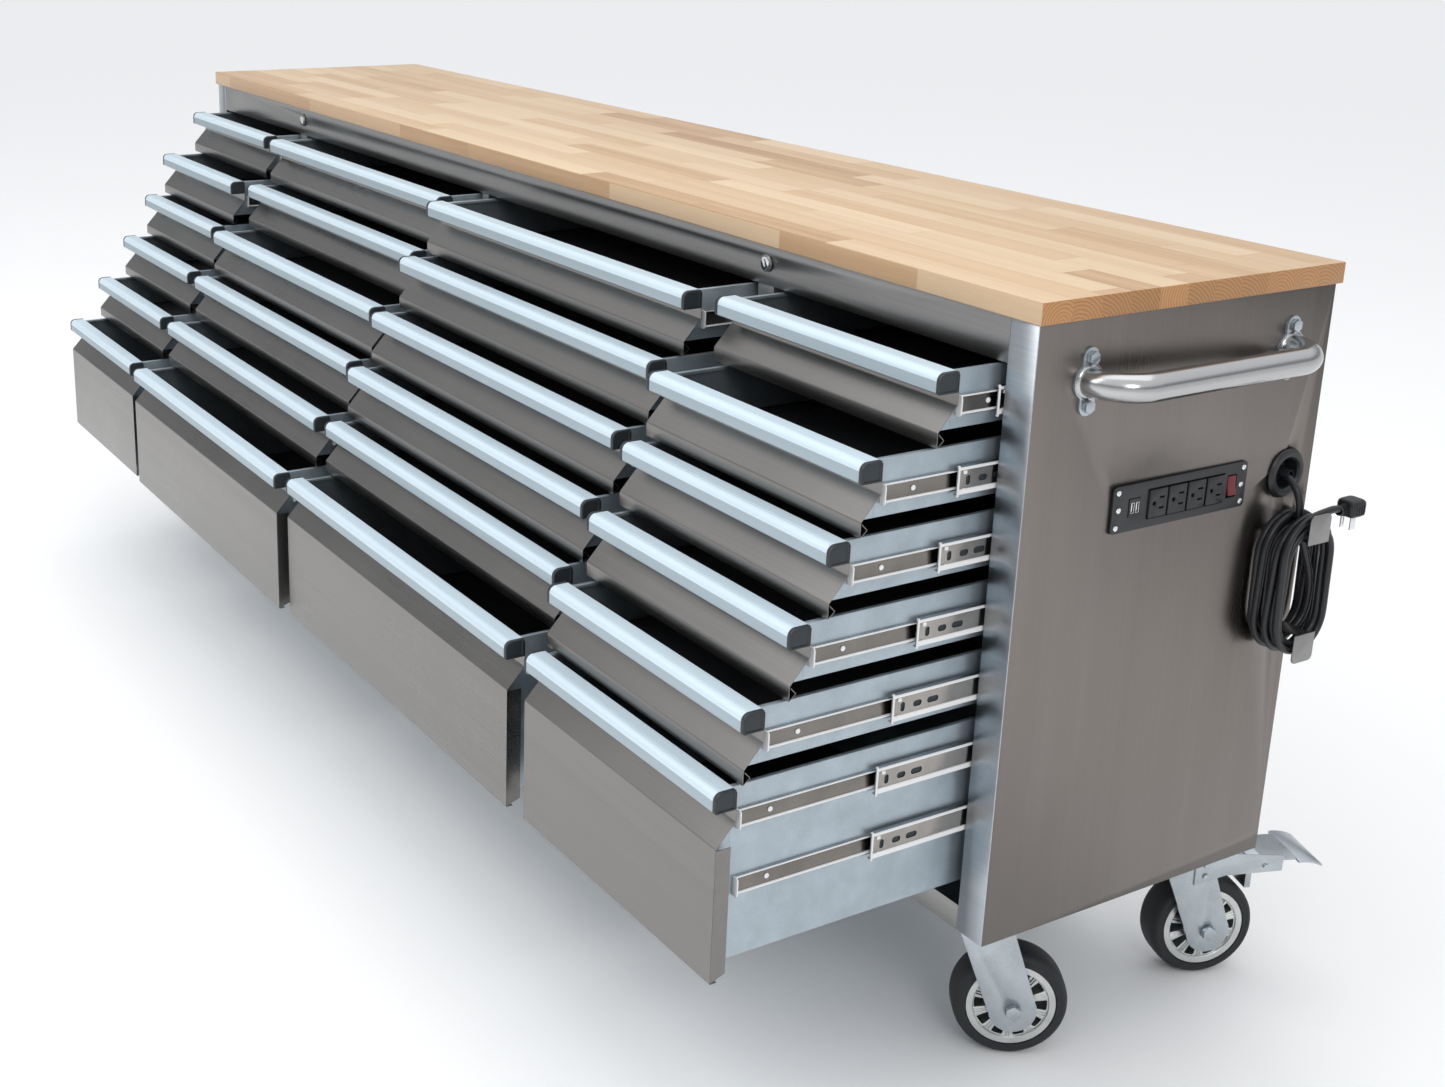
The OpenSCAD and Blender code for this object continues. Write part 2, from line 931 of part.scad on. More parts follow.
module wheel(column, rear) {
    tyre_r = wheel_d / 2;
    rim_r = rim_d / 2;
    half = wheel_w / 2;
    shoulder = min(7, (tyre_r - rim_r - seam) / 2);
    color("dimgray")
        at_caster(column, rear)
            translate([0, trail, axle_z])
                rotate([0, 90, 0]) {
                    rotate_extrude($fn = 96)
                        polygon([
                            [rim_r + seam, -half],
                            [tyre_r - shoulder, -half],
                            [tyre_r - shoulder / 4, -half + 4],
                            [tyre_r, -half + 11],
                            [tyre_r, half - 11],
                            [tyre_r - shoulder / 4, half - 4],
                            [tyre_r - shoulder, half],
                            [rim_r + seam, half]
                        ]);
                    difference() {
                        rotate_extrude($fn = 96)
                            polygon([
                                [axle_r + running, -fork_gap + 2],
                                [16, -fork_gap + 2],
                                [18, -half + 6],
                                [rim_r - 8, -half + 6],
                                [rim_r - 6, -half],
                                [rim_r, -half],
                                [rim_r, half],
                                [rim_r - 6, half],
                                [rim_r - 8, half - 6],
                                [18, half - 6],
                                [16, fork_gap - 2],
                                [axle_r + running, fork_gap - 2]
                            ]);
                        for (a = [0:36:324])
                            rotate([0, 0, a])
                                translate([(rim_r + 12) / 2, 0, -half - 1])
                                    cylinder(r = 6.5, h = wheel_w + 2);
                    }
                }
}

// Pedal with a barrel on the pivot pin and a curved blade behind it
module brake_pedal(column) {
    wide = 2 * (fork_gap + fork_t) - 8;
    blade_r = 60;
    color("gainsboro")
        at_caster(column, true)
            translate([-wide / 2, pivot_y, pivot_z]) {
                difference() {
                    union() {
                        rotate([0, 90, 0])
                            cylinder(r = 7, h = wide);
                        translate([0, -16, 3])
                            cube([wide, 62, 3]);
                        translate([wide / 2 - 18, -14, -42])
                            cube([36, 8, 48]);
                    }
                    translate([-1, 0, 0])
                        rotate([0, 90, 0])
                            cylinder(r = 3 + running, h = wide + 2);
                }
                intersection() {
                    translate([-8, 50, 6 - blade_r])
                        rotate([0, 90, 0])
                            difference() {
                                cylinder(r = blade_r, h = wide + 16);
                                translate([0, 0, -1])
                                    cylinder(r = blade_r - 3, h = wide + 18);
                            }
                    translate([-8, 45, -20])
                        cube([wide + 16, pedal_reach - pivot_y - 45, 40]);
                }
            }
}

module column_of_casters(column, name) {
    fork(column, false);
    fork(column, true);
    wheel(column, false);
    wheel(column, true);
    brake_pedal(column);
}

worktop();
right_side_panel();
left_side_panel();
back_panel();
base_pan();
front_rails();
divider_walls();
cabinet_slides();
push_handle();
handle_fasteners();
power_strip();
power_outlets();
power_switch();
cord_grommet();
cord_hooks();
power_cord();
cord_coil();
plug();
caster_plates();
lock_left();
lock_right();
for (c = [1:4], r = [1:rows])
    drawer(c, r);
column_of_casters(0, "left");
column_of_casters(1, "middle");
column_of_casters(2, "right");
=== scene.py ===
import json
import math

import bmesh
import bpy
from mathutils import Matrix, Vector


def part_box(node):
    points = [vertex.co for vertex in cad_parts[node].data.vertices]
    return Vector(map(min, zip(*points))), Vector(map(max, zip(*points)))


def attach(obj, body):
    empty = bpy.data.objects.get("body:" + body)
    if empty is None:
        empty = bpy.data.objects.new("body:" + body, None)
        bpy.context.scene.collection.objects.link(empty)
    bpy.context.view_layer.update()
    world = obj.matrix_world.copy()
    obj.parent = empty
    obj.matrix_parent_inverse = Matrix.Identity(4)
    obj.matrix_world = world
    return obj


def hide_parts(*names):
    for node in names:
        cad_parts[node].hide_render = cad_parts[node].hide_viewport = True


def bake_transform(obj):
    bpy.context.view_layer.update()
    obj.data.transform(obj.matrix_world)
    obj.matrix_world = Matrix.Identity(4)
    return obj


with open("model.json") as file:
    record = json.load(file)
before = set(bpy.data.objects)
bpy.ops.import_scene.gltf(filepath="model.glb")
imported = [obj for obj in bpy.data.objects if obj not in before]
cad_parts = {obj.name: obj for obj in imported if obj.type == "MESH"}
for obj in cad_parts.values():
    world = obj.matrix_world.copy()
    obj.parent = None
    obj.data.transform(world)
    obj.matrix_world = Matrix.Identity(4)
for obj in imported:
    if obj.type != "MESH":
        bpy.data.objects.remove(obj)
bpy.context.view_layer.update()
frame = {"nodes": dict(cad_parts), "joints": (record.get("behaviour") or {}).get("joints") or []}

mm = 0.001
topLow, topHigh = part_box("worktop")
middleX = (topLow.x + topHigh.x) / 2
frontY = topLow.y


# a point measured from the floor under the middle of the worktop's front edge
def at(x, y, z):
    return Vector((middleX + x, frontY + y, z))


# ---- camera, floor and light

camera = {
    "place": (2.526, -1.345, 1.379), "turn": (73.264, -0.896, 59.842),
    "lens": 45.06, "shift": (0.1161, -0.0846)}

studio = {
    "skyStrength": 0.92, "floor": (0.95, 0.95, 0.95, 1), "floorSize": 160,
    # brightness of the sky from straight down to straight up
    "sky": [(0.0, (0.5, 0.5, 0.5, 1)), (0.45, (0.8, 0.8, 0.8, 1)), (0.55, (0.82, 0.83, 0.84, 1)),
            (0.58, (0.28, 0.30, 0.32, 1)), (0.64, (0.40, 0.42, 0.44, 1)),
            (0.73, (0.95, 0.97, 1.0, 1)), (1.0, (1.14, 1.15, 1.17, 1))],
    "keyPlace": (-0.6, -3.4, 3.6), "keySize": 3.2, "keyPower": 80,
    "endPlace": (4.2, -1.2, 2.6), "endSize": 1.2, "endPower": 22,
    "topPlace": (0.2, 0.6, 3.8), "topSize": 3.6, "topPower": 30}


def makeCamera():
    bpy.ops.object.camera_add(location=at(*camera["place"]))
    eye = bpy.context.object
    eye.rotation_euler = [math.radians(a) for a in camera["turn"]]
    eye.data.lens = camera["lens"]
    eye.data.shift_x, eye.data.shift_y = camera["shift"]
    bpy.context.scene.camera = eye


def addLamp(name, place, size, power):
    bpy.ops.object.light_add(type="AREA", location=at(*place))
    lamp = bpy.context.object
    lamp.name = name
    lamp.data.size = size
    lamp.data.energy = power
    lamp.rotation_euler = (at(0, 0.2, 0.5) - lamp.location).to_track_quat("-Z", "Y").to_euler()


def makeStudio():
    bpy.ops.mesh.primitive_plane_add(size=studio["floorSize"])
    floor = bpy.context.object
    floor.name = "floor"
    paint = bpy.data.materials.new("floorPaint")
    paint.use_nodes = True
    shader = paint.node_tree.nodes["Principled BSDF"]
    shader.inputs["Base Color"].default_value = studio["floor"]
    shader.inputs["Roughness"].default_value = 0.75
    floor.data.materials.append(paint)
    world = bpy.data.worlds.new("studioSky")
    world.use_nodes = True
    tree = world.node_tree
    back = tree.nodes["Background"]
    back.inputs["Strength"].default_value = studio["skyStrength"]
    way = tree.nodes.new("ShaderNodeTexCoord")
    parts = tree.nodes.new("ShaderNodeSeparateXYZ")
    height = tree.nodes.new("ShaderNodeMapRange")
    height.inputs["From Min"].default_value = -1
    ramp = tree.nodes.new("ShaderNodeValToRGB")
    while len(ramp.color_ramp.elements) < len(studio["sky"]):
        ramp.color_ramp.elements.new(0.5)
    for element, (place, colour) in zip(ramp.color_ramp.elements, studio["sky"]):
        element.position = place
        element.color = colour
    tree.links.new(way.outputs["Generated"], parts.inputs[0])
    tree.links.new(parts.outputs["Z"], height.inputs["Value"])
    tree.links.new(height.outputs["Result"], ramp.inputs[0])
    tree.links.new(ramp.outputs["Color"], back.inputs["Color"])
    bpy.context.scene.world = world
    bpy.context.scene.view_settings.view_transform = "Standard"
    for part in ("key", "end", "top"):
        addLamp(part + "Light", studio[part + "Place"], studio[part + "Size"], studio[part + "Power"])


makeCamera()
makeStudio()
print("camera and light are set")


# ---- materials

class Wire:
    # one value or colour on its way through the nodes
    def __init__(self, finish, socket):
        self.finish = finish
        self.socket = socket

    def __add__(self, other):
        return self.finish.compute("ADD", self, other)

    def __radd__(self, other):
        return self.finish.compute("ADD", other, self)

    def __sub__(self, other):
        return self.finish.compute("SUBTRACT", self, other)

    def __rsub__(self, other):
        return self.finish.compute("SUBTRACT", other, self)

    def __mul__(self, other):
        return self.finish.compute("MULTIPLY", self, other)

    def __truediv__(self, other):
        return self.finish.compute("DIVIDE", self, other)

    def __gt__(self, other):
        return self.finish.compute("GREATER_THAN", self, other)


class Finish:
    # a material being built on the Principled shader
    def __init__(self, name, **fixed):
        self.material = bpy.data.materials.new(name)
        self.material.use_nodes = True
        self.nodes = self.material.node_tree.nodes
        self.links = self.material.node_tree.links
        self.shader = self.nodes["Principled BSDF"]
        for socket, value in fixed.items():
            self.shader.inputs[socket.replace("_", " ")].default_value = value
        self.spot = self.add("ShaderNodeTexCoord", {}, {}, 3)

    def add(self, kind, settings, values, output=0):
        node = self.nodes.new(kind)
        for key, value in settings.items():
            if key == "stops":
                ramp = node.color_ramp
                while len(ramp.elements) < len(value):
                    ramp.elements.new(0.5)
                for element, (place, colour) in zip(ramp.elements, value):
                    element.position = place
                    element.color = colour
            else:
                setattr(node, key, value)
        for key, value in values.items():
            self.plug(node.inputs[key], value)
        return Wire(self, node.outputs[output])

    def compute(self, operation, *values):
        return self.add("ShaderNodeMath", {"operation": operation}, dict(enumerate(values)))

    def plug(self, socket, value):
        if isinstance(value, Wire):
            self.links.new(value.socket, socket)
        else:
            socket.default_value = value

    def stretch(self, scale, shift=(0, 0, 0)):
        return self.add("ShaderNodeMapping", {}, {
            "Vector": self.spot, "Scale": scale, "Location": shift})

    def noise(self, scale, detail=2, shift=(0, 0, 0)):
        return self.add("ShaderNodeTexNoise", {}, {
            "Vector": self.stretch(scale, shift), "Scale": 1, "Detail": detail, "Roughness": 0.55})

    def mix(self, factor, first, second):
        return self.add("ShaderNodeMix", {"data_type": "RGBA"}, {0: factor, 6: first, 7: second}, 2)

    def split(self, vector):
        node = self.nodes.new("ShaderNodeSeparateXYZ")
        self.plug(node.inputs[0], vector)
        return [Wire(self, socket) for socket in node.outputs]

    def colour(self, value):
        self.plug(self.shader.inputs["Base Color"], value)

    def rough(self, value):
        self.plug(self.shader.inputs["Roughness"], value)

    def bump(self, height, distance, strength=1.0):
        relief = self.add("ShaderNodeBump", {}, {
            "Height": height, "Distance": distance, "Strength": strength})
        self.plug(self.shader.inputs["Normal"], relief)


def shade(colour, factor):
    return (*[part * factor for part in colour[:3]], 1)


brushings = {
    "alongX": ((2.5, 700, 700), (0.8, 45, 45)),
    "alongY": ((700, 2.5, 700), (45, 0.8, 45)),
    "alongZ": ((700, 700, 2.5), (38, 30, 0.9))}


# sheet or bar metal with fine lines one way, broader soft streaks and a few faint smudges
def brushedMetal(name, colour, roughness, way, contrast=0.12, metallic=1.0, coat=0.0):
    finish = Finish(name, Metallic=metallic, Coat_Weight=coat, Coat_Roughness=0.25)
    fine = finish.noise(brushings[way][0], 1)
    broad = finish.noise(brushings[way][1], 3, (0.3, 1.7, 0.9))
    smudge = finish.noise((3.2, 3.2, 2.2), 3, (3, 1, 2))
    tone = fine * 0.25 + broad * 0.35 + smudge * 0.4
    finish.colour(finish.add("ShaderNodeValToRGB", {"stops": [
        (0.32, shade(colour, 1 - contrast)), (0.68, shade(colour, 1 + contrast))]}, {0: tone}))
    finish.rough(roughness - 0.1 + fine * 0.05 + smudge * 0.2)
    finish.bump(fine, 0.00006, 0.5)
    return finish.material


# zinc plated or cast metal, softly mottled
def platedMetal(name, colour, roughness, metallic=1.0):
    finish = Finish(name, Metallic=metallic)
    cloud = finish.noise((28, 28, 28), 4)
    speck = finish.noise((420, 420, 420), 2)
    finish.colour(finish.add("ShaderNodeValToRGB", {"stops": [
        (0.3, shade(colour, 0.84)), (0.7, shade(colour, 1.12))]}, {0: cloud * 0.75 + speck * 0.25}))
    finish.rough(roughness - 0.06 + cloud * 0.14)
    finish.bump(speck, 0.00008, 0.4)
    return finish.material


# moulded plastic or rubber with a fine grain and a little dust
def mouldedPlastic(name, colour, roughness, grain=900, relief=0.00012, dust=0.02):
    finish = Finish(name, Specular_IOR_Level=0.45)
    speck = finish.noise((grain, grain, grain), 2)
    cloud = finish.noise((16, 16, 16), 4)
    pale = (colour[0] + dust, colour[1] + dust, colour[2] + dust * 1.1, 1)
    finish.colour(finish.mix(cloud * 0.7 + speck * 0.3, shade(colour, 0.9), pale))
    finish.rough(roughness - 0.06 + cloud * 0.12)
    finish.bump(speck, relief, 0.6)
    return finish.material


# black drawer liner with rows of small round dimples
def dimpledLiner():
    finish = Finish("dimpledLiner", Specular_IOR_Level=0.4)
    dots = finish.add("ShaderNodeTexVoronoi", {}, {
        "Vector": finish.stretch((160, 160, 0.001)), "Scale": 1, "Randomness": 0.0})
    cloud = finish.noise((12, 12, 12), 3)
    finish.colour(finish.mix(cloud, (0.008, 0.009, 0.011, 1), (0.028, 0.03, 0.034, 1)))
    finish.rough(0.5 + cloud * 0.15)
    finish.bump(dots, 0.0011, 0.8)
    return finish.material


wood = {
    "stave": 43 * mm, "lengths": 0.36, "pale": (0.70, 0.535, 0.355, 1), "mid": (0.60, 0.41, 0.24, 1),
    "dark": (0.40, 0.225, 0.105, 1), "end": (0.47, 0.235, 0.092, 1)}


# butcher block: staves along the worktop, each with its own tone and grain, and end grain at the ends
def butcherBlock():
    finish = Finish("butcherBlock", Specular_IOR_Level=0.4, Coat_Weight=0.12, Coat_Roughness=0.3)
    x, y, z = finish.split(finish.spot)
    across = (y - frontY) / wood["stave"]
    row = finish.compute("FLOOR", across)
    rowShift = finish.add("ShaderNodeTexWhiteNoise", {"noise_dimensions": "1D"}, {"W": row + 3.7})
    along = x / wood["lengths"] + rowShift * 7.3
    wobble = finish.compute("SINE", along * 2.1 + row)
    along = along + wobble * 0.22
    stave = finish.compute("FLOOR", along)
    key = finish.add("ShaderNodeCombineXYZ", {}, {0: row, 1: stave})
    tone = finish.add("ShaderNodeTexWhiteNoise", {"noise_dimensions": "2D"}, {"Vector": key})
    offset = finish.add("ShaderNodeCombineXYZ", {}, {0: tone * 9, 1: tone * 17, 2: tone * 5})
    place = finish.add("ShaderNodeVectorMath", {"operation": "ADD"}, {0: finish.spot, 1: offset})
    grainPlace = finish.add("ShaderNodeMapping", {}, {"Vector": place, "Scale": (1.6, 42, 42)})
    bands = finish.add("ShaderNodeTexNoise", {}, {
        "Vector": grainPlace, "Scale": 1, "Detail": 5, "Roughness": 0.6, "Distortion": 0.35})
    porePlace = finish.add("ShaderNodeMapping", {}, {"Vector": place, "Scale": (28, 900, 900)})
    pores = finish.add("ShaderNodeTexNoise", {}, {"Vector": porePlace, "Scale": 1, "Detail": 2})
    ramp = {"stops": [(0.08, wood["dark"]), (0.36, wood["mid"]), (0.72, wood["pale"]),
                      (1.0, shade(wood["pale"], 1.13))]}
    level = tone * 0.62 + bands * 0.62 - 0.12
    face = finish.add("ShaderNodeValToRGB", ramp, {0: level})
    flecks = finish.mix(pores * 0.34, face, shade(wood["mid"], 0.72))
    # fine dark joints between the staves and at their butt ends
    inRow = finish.compute("PINGPONG", across, 0.5)
    inLength = finish.compute("PINGPONG", along, 0.5)
    joint = 1 - (inRow > 0.012) * (inLength > 0.002)
    top = finish.mix(joint * 0.35, flecks, shade(wood["dark"], 0.8))
    # end grain: curved rings about a point of each stave's own
    normal = finish.add("ShaderNodeNewGeometry", {}, {}, 1)
    facing = finish.compute("ABSOLUTE", finish.split(normal)[0])
    centreY = (row + tone * 2 - 0.5) * wood["stave"] + frontY
    centreZ = topLow.z - 0.03 + tone * 0.05
    fromCentre = finish.add("ShaderNodeCombineXYZ", {}, {0: y - centreY, 1: z - centreZ})
    distance = finish.add("ShaderNodeVectorMath", {"operation": "LENGTH"}, {0: fromCentre}, 1)
    rings = finish.compute("SINE", distance * 1500 + bands * 9)
    endTone = rings * 0.2 + tone * 0.35 + pores * 0.25 + 0.1
    endStops = [(0.0, shade(wood["end"], 0.62)), (0.5, wood["end"]), (1.0, shade(wood["end"], 1.5))]
    endFace = finish.add("ShaderNodeValToRGB", {"stops": endStops}, {0: endTone})
    finish.colour(finish.mix(facing > 0.6, top, endFace))
    finish.rough(0.36 + pores * 0.1 + bands * 0.08)
    finish.bump(bands * 0.3 + pores * 0.7 - joint * 1.2, 0.00022, 0.6)
    return finish.material


finishes = {
    "wood": butcherBlock(),
    # one stainless sheet in two tones: a dark warm painted reflection for the side and a pale bluish
    # painted highlight for the stile
    "endSteelPaintedReflection": brushedMetal("endSteelPaintedReflection", (0.205, 0.184, 0.170), 0.27, "alongZ", 0.09),
    "stileSteelPaintedHighlight": brushedMetal("stileSteelPaintedHighlight", (0.47, 0.50, 0.53), 0.30, "alongX", 0.16),
    "railSteel": brushedMetal("railSteel", (0.27, 0.265, 0.26), 0.30, "alongX", 0.12),
    "frontSteel": brushedMetal("frontSteel", (0.225, 0.215, 0.205), 0.27, "alongX", 0.1),
    "pullAluminium": brushedMetal("pullAluminium", (0.60, 0.71, 0.78), 0.34, "alongX", 0.04, 0.2),
    # painted shade: a darker copy of the pull's aluminium for its lower front faces
    "pullPaintedShade": brushedMetal("pullPaintedShade", (0.40, 0.47, 0.51), 0.42, "alongX", 0.04),
    "tubeSteel": brushedMetal("tubeSteel", (0.48, 0.48, 0.48), 0.16, "alongY", 0.05),
    "boxZinc": platedMetal("boxZinc", (0.42, 0.485, 0.53), 0.4, 0.75),
    # painted shade: a darker copy of the drawers' zinc tone for the parts inside the cabinet
    "innerZincPaintedShade": platedMetal("innerZincPaintedShade", (0.20, 0.23, 0.26), 0.45, 0.6),
    "slideSteel": platedMetal("slideSteel", (0.42, 0.45, 0.48), 0.22),
    # painted reflection: darker brown copies of the slide steel for the webs of the runners and middle
    # members
    "slideWebPaintedReflection": platedMetal("slideWebPaintedReflection", (0.20, 0.185, 0.17), 0.2),
    "middleWebPaintedReflection": platedMetal("middleWebPaintedReflection", (0.34, 0.32, 0.30), 0.22),
    "chrome": platedMetal("chrome", (0.78, 0.79, 0.80), 0.16),
    "casterZinc": platedMetal("casterZinc", (0.46, 0.50, 0.53), 0.28),
    "rimZinc": platedMetal("rimZinc", (0.62, 0.63, 0.62), 0.3),
    "tyreRubber": mouldedPlastic("tyreRubber", (0.010, 0.0115, 0.014), 0.62, 500, 0.0003, 0.008),
    "capPlastic": mouldedPlastic("capPlastic", (0.016, 0.023, 0.028), 0.5, dust=0.008),
    "stripCoat": mouldedPlastic("stripCoat", (0.016, 0.018, 0.021), 0.42, 1400, 0.0001, 0.006),
    "socketPlastic": mouldedPlastic("socketPlastic", (0.009, 0.010, 0.012), 0.38, dust=0.008),
    "rockerPlastic": mouldedPlastic("rockerPlastic", (0.14, 0.006, 0.012), 0.34, 700, 0.0001, 0.008),
    "cordSheath": mouldedPlastic("cordSheath", (0.008, 0.009, 0.011), 0.36, dust=0.006),
    "plugPlastic": mouldedPlastic("plugPlastic", (0.008, 0.009, 0.011), 0.38, dust=0.006),
    "liner": dimpledLiner()}
print("materials are mixed")


# ---- shaping helpers

def rest():
    if bpy.context.object and bpy.context.object.mode != "OBJECT":
        bpy.ops.object.mode_set(mode="OBJECT")
    bpy.ops.object.select_all(action="DESELECT")


def take(piece):
    rest()
    piece.select_set(True)
    bpy.context.view_layer.objects.active = piece


def openMesh(piece, mode="FACE"):
    take(piece)
    bpy.ops.object.mode_set(mode="EDIT")
    bpy.ops.mesh.select_mode(type=mode)
    bpy.ops.mesh.select_all(action="DESELECT")


# selects the faces that the test accepts
def pickFaces(piece, test):
    mesh = bmesh.from_edit_mesh(piece.data)
    for face in mesh.faces:
        face.select_set(test(face.calc_center_median(), face.normal))
    bmesh.update_edit_mesh(piece.data)


# selects the edges that the test accepts, by middle and direction
def pickEdges(piece, test):
    mesh = bmesh.from_edit_mesh(piece.data)
    for edge in mesh.edges:
        first, second = edge.verts[0].co, edge.verts[1].co
        edge.select_set(test((first + second) / 2, (second - first).normalized()))
    bmesh.update_edit_mesh(piece.data)


def settle(piece):
    take(piece)
    bpy.ops.object.transform_apply(location=True, rotation=True, scale=True)


def useModifier(piece, kind, **settings):
    take(piece)
    modifier = piece.modifiers.new(kind.lower(), kind)
    for key, value in settings.items():
        setattr(modifier, key, value)
    bpy.ops.object.modifier_apply(modifier=modifier.name)


def softenEdges(piece, width, segments=2, angle=28):
    useModifier(piece, "BEVEL", width=width, segments=segments, limit_method="ANGLE",
                angle_limit=math.radians(angle), use_clamp_overlap=True, harden_normals=False)


def cleanMesh(piece):
    take(piece)
    bpy.ops.object.mode_set(mode="EDIT")
    bpy.ops.mesh.select_all(action="SELECT")
    bpy.ops.mesh.remove_doubles(threshold=0.000002)
    bpy.ops.mesh.normals_make_consistent(inside=False)
    rest()


# a line of corners drawn point by point, ready to be extruded or spun
def drawLine(name, points, closed=False):
    rest()
    bpy.ops.mesh.primitive_plane_add(size=0.001, location=points[0])
    line = bpy.context.object
    line.name = name
    settle(line)
    bpy.ops.object.mode_set(mode="EDIT")
    bpy.ops.mesh.select_mode(type="VERT")
    bpy.ops.mesh.select_all(action="SELECT")
    bpy.ops.mesh.merge(type="CENTER")
    for before, after in zip(points, points[1:]):
        bpy.ops.mesh.extrude_region_move(
            TRANSFORM_OT_translate={"value": Vector(after) - Vector(before)})
    bpy.ops.mesh.select_all(action="SELECT")
    if closed:
        bpy.ops.mesh.edge_face_add()
    return line


# a bar of one outline, extruded by a vector; the outline is closed
def makeBar(name, points, reach):
    bar = drawLine(name, points, True)
    bpy.ops.mesh.extrude_region_move(TRANSFORM_OT_translate={"value": reach})
    cleanMesh(bar)
    return bar


# a folded sheet: the line of its folds extruded by a vector, its bends rounded, then its thickness
def makeSheet(name, points, reach, thickness, bend=0.0):
    sheet = drawLine(name, points)
    bpy.ops.mesh.extrude_region_move(TRANSFORM_OT_translate={"value": reach})
    cleanMesh(sheet)
    if bend:
        softenEdges(sheet, bend, 3, 12)
    useModifier(sheet, "SOLIDIFY", thickness=thickness, offset=0, use_even_offset=True)
    cleanMesh(sheet)
    return sheet


def makeBlock(name, low, high, bevel=0.0, segments=2):
    rest()
    low, high = Vector(low), Vector(high)
    bpy.ops.mesh.primitive_cube_add(size=1, location=(low + high) / 2, scale=high - low)
    block = bpy.context.object
    block.name = name
    settle(block)
    if bevel:
        softenEdges(block, bevel, segments)
    return block


# a round bar along one axis, from a circle that is filled and extruded
def makeRod(name, place, radius, reach, sides=24, bevel=0.0):
    rest()
    turn = Vector(reach).to_track_quat("Z", "Y").to_euler()
    bpy.ops.mesh.primitive_circle_add(
        vertices=sides, radius=radius, fill_type="NGON", location=place, rotation=turn)
    rod = bpy.context.object
    rod.name = name
    settle(rod)
    bpy.ops.object.mode_set(mode="EDIT")
    bpy.ops.mesh.select_all(action="SELECT")
    bpy.ops.mesh.extrude_region_move(TRANSFORM_OT_translate={"value": reach})
    cleanMesh(rod)
    if bevel:
        softenEdges(rod, bevel, 2, 40)
    return rod


# (radius, along) pairs in millimetres, made metres
def inMetres(profile):
    return [(radius * mm, along * mm) for radius, along in profile]


# a turned piece: a profile of (radius, along) spun about X through the origin
def makeTurned(name, profile, steps):
    points = [(along, 0, radius) for radius, along in profile]
    turned = drawLine(name, points + points[:1])
    bpy.ops.mesh.spin(steps=steps, angle=math.tau, center=(0, 0, 0), axis=(1, 0, 0))
    cleanMesh(turned)
    return turned


def join(name, parts):
    rest()
    for part in parts:
        part.select_set(True)
    bpy.context.view_layer.objects.active = parts[0]
    if len(parts) > 1:
        bpy.ops.object.join()
    whole = bpy.context.object
    whole.name = name
    return whole


# a copy with its own mesh, its place in the mesh
def copyTo(piece, name, matrix):
    twin = piece.copy()
    twin.data = piece.data.copy()
    twin.name = name
    twin.data.transform(matrix)
    bpy.context.scene.collection.objects.link(twin)
    return twin


def mirrored(piece, name, matrix):
    twin = copyTo(piece, name, matrix)
    cleanMesh(twin)
    return twin


def setFinish(piece, *names):
    piece.data.materials.clear()
    for name in names:
        piece.data.materials.append(finishes[name])


def complete(piece, finish, body, replaced=(), angle=32):
    take(piece)
    bpy.ops.object.shade_smooth_by_angle(angle=math.radians(angle))
    if finish:
        setFinish(piece, finish)
    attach(piece, body)
    if replaced:
        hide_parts(*replaced)
    return piece


# a merged copy of a CAD node with its flats made whole and its edges softened
def copyNode(node, name, bevel, segments=2, angle=30):
    source = frame["nodes"][node]
    twin = bpy.data.objects.new(name, source.data.copy())
    bpy.context.scene.collection.objects.link(twin)
    cleanMesh(twin)
    bpy.ops.object.select_all(action="DESELECT")
    take(twin)
    bpy.ops.object.mode_set(mode="EDIT")
    bpy.ops.mesh.select_all(action="SELECT")
    bpy.ops.mesh.dissolve_limited(angle_limit=math.radians(0.6))
    rest()
    if bevel:
        softenEdges(twin, bevel, segments, angle)
    return twin


# a softened copy of a CAD node, finished and set on its body
def refine(node, name, bevel, finish, body="chest", segments=2, angle=30):
    complete(copyNode(node, name, bevel * mm, segments, angle), finish, body, (node,))


# ---- the power lead

lead = {
    "diameter": 9 * mm, "length": 3.31,
    "feed": [(-16, 0), (-8, 0), (0, -1), (8, -4), (15, -9), (21, -16), (25, -24), (27, -32), (27, -37)],
    # along Y and up from the coil's middle, on its outer side
    "tail": [(4, 88), (14, 90), (24, 91), (33, 91), (42, 90)], "tailDepth": 40,
    # where the feed meets the first loop: part of a turn, half width, half height, points
    "join": (0.32, 36.5, 64.5, 10),
    # each pass over the top: depth from the coil's back, half width, half height
    "turns": [(22.5, 36.5, 70), (13.5, 36.5, 71), (4.5, 36.5, 72), (4.5, 45.5, 83),
              (13.5, 45.5, 85), (31.5, 45.5, 84), (31.5, 37, 73), (40.5, 37, 74),
              (40.5, 45.5, 88)],
    "steps": 72}

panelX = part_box("right_side_panel")[1].x
grommetLow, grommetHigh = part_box("cord_grommet")
grommetY = (grommetLow.y + grommetHigh.y) / 2
grommetZ = (grommetLow.z + grommetHigh.z) / 2
coilLow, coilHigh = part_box("cord_coil")
coilY = (coilLow.y + coilHigh.y) / 2
coilZ = (coilLow.z + coilHigh.z) / 2


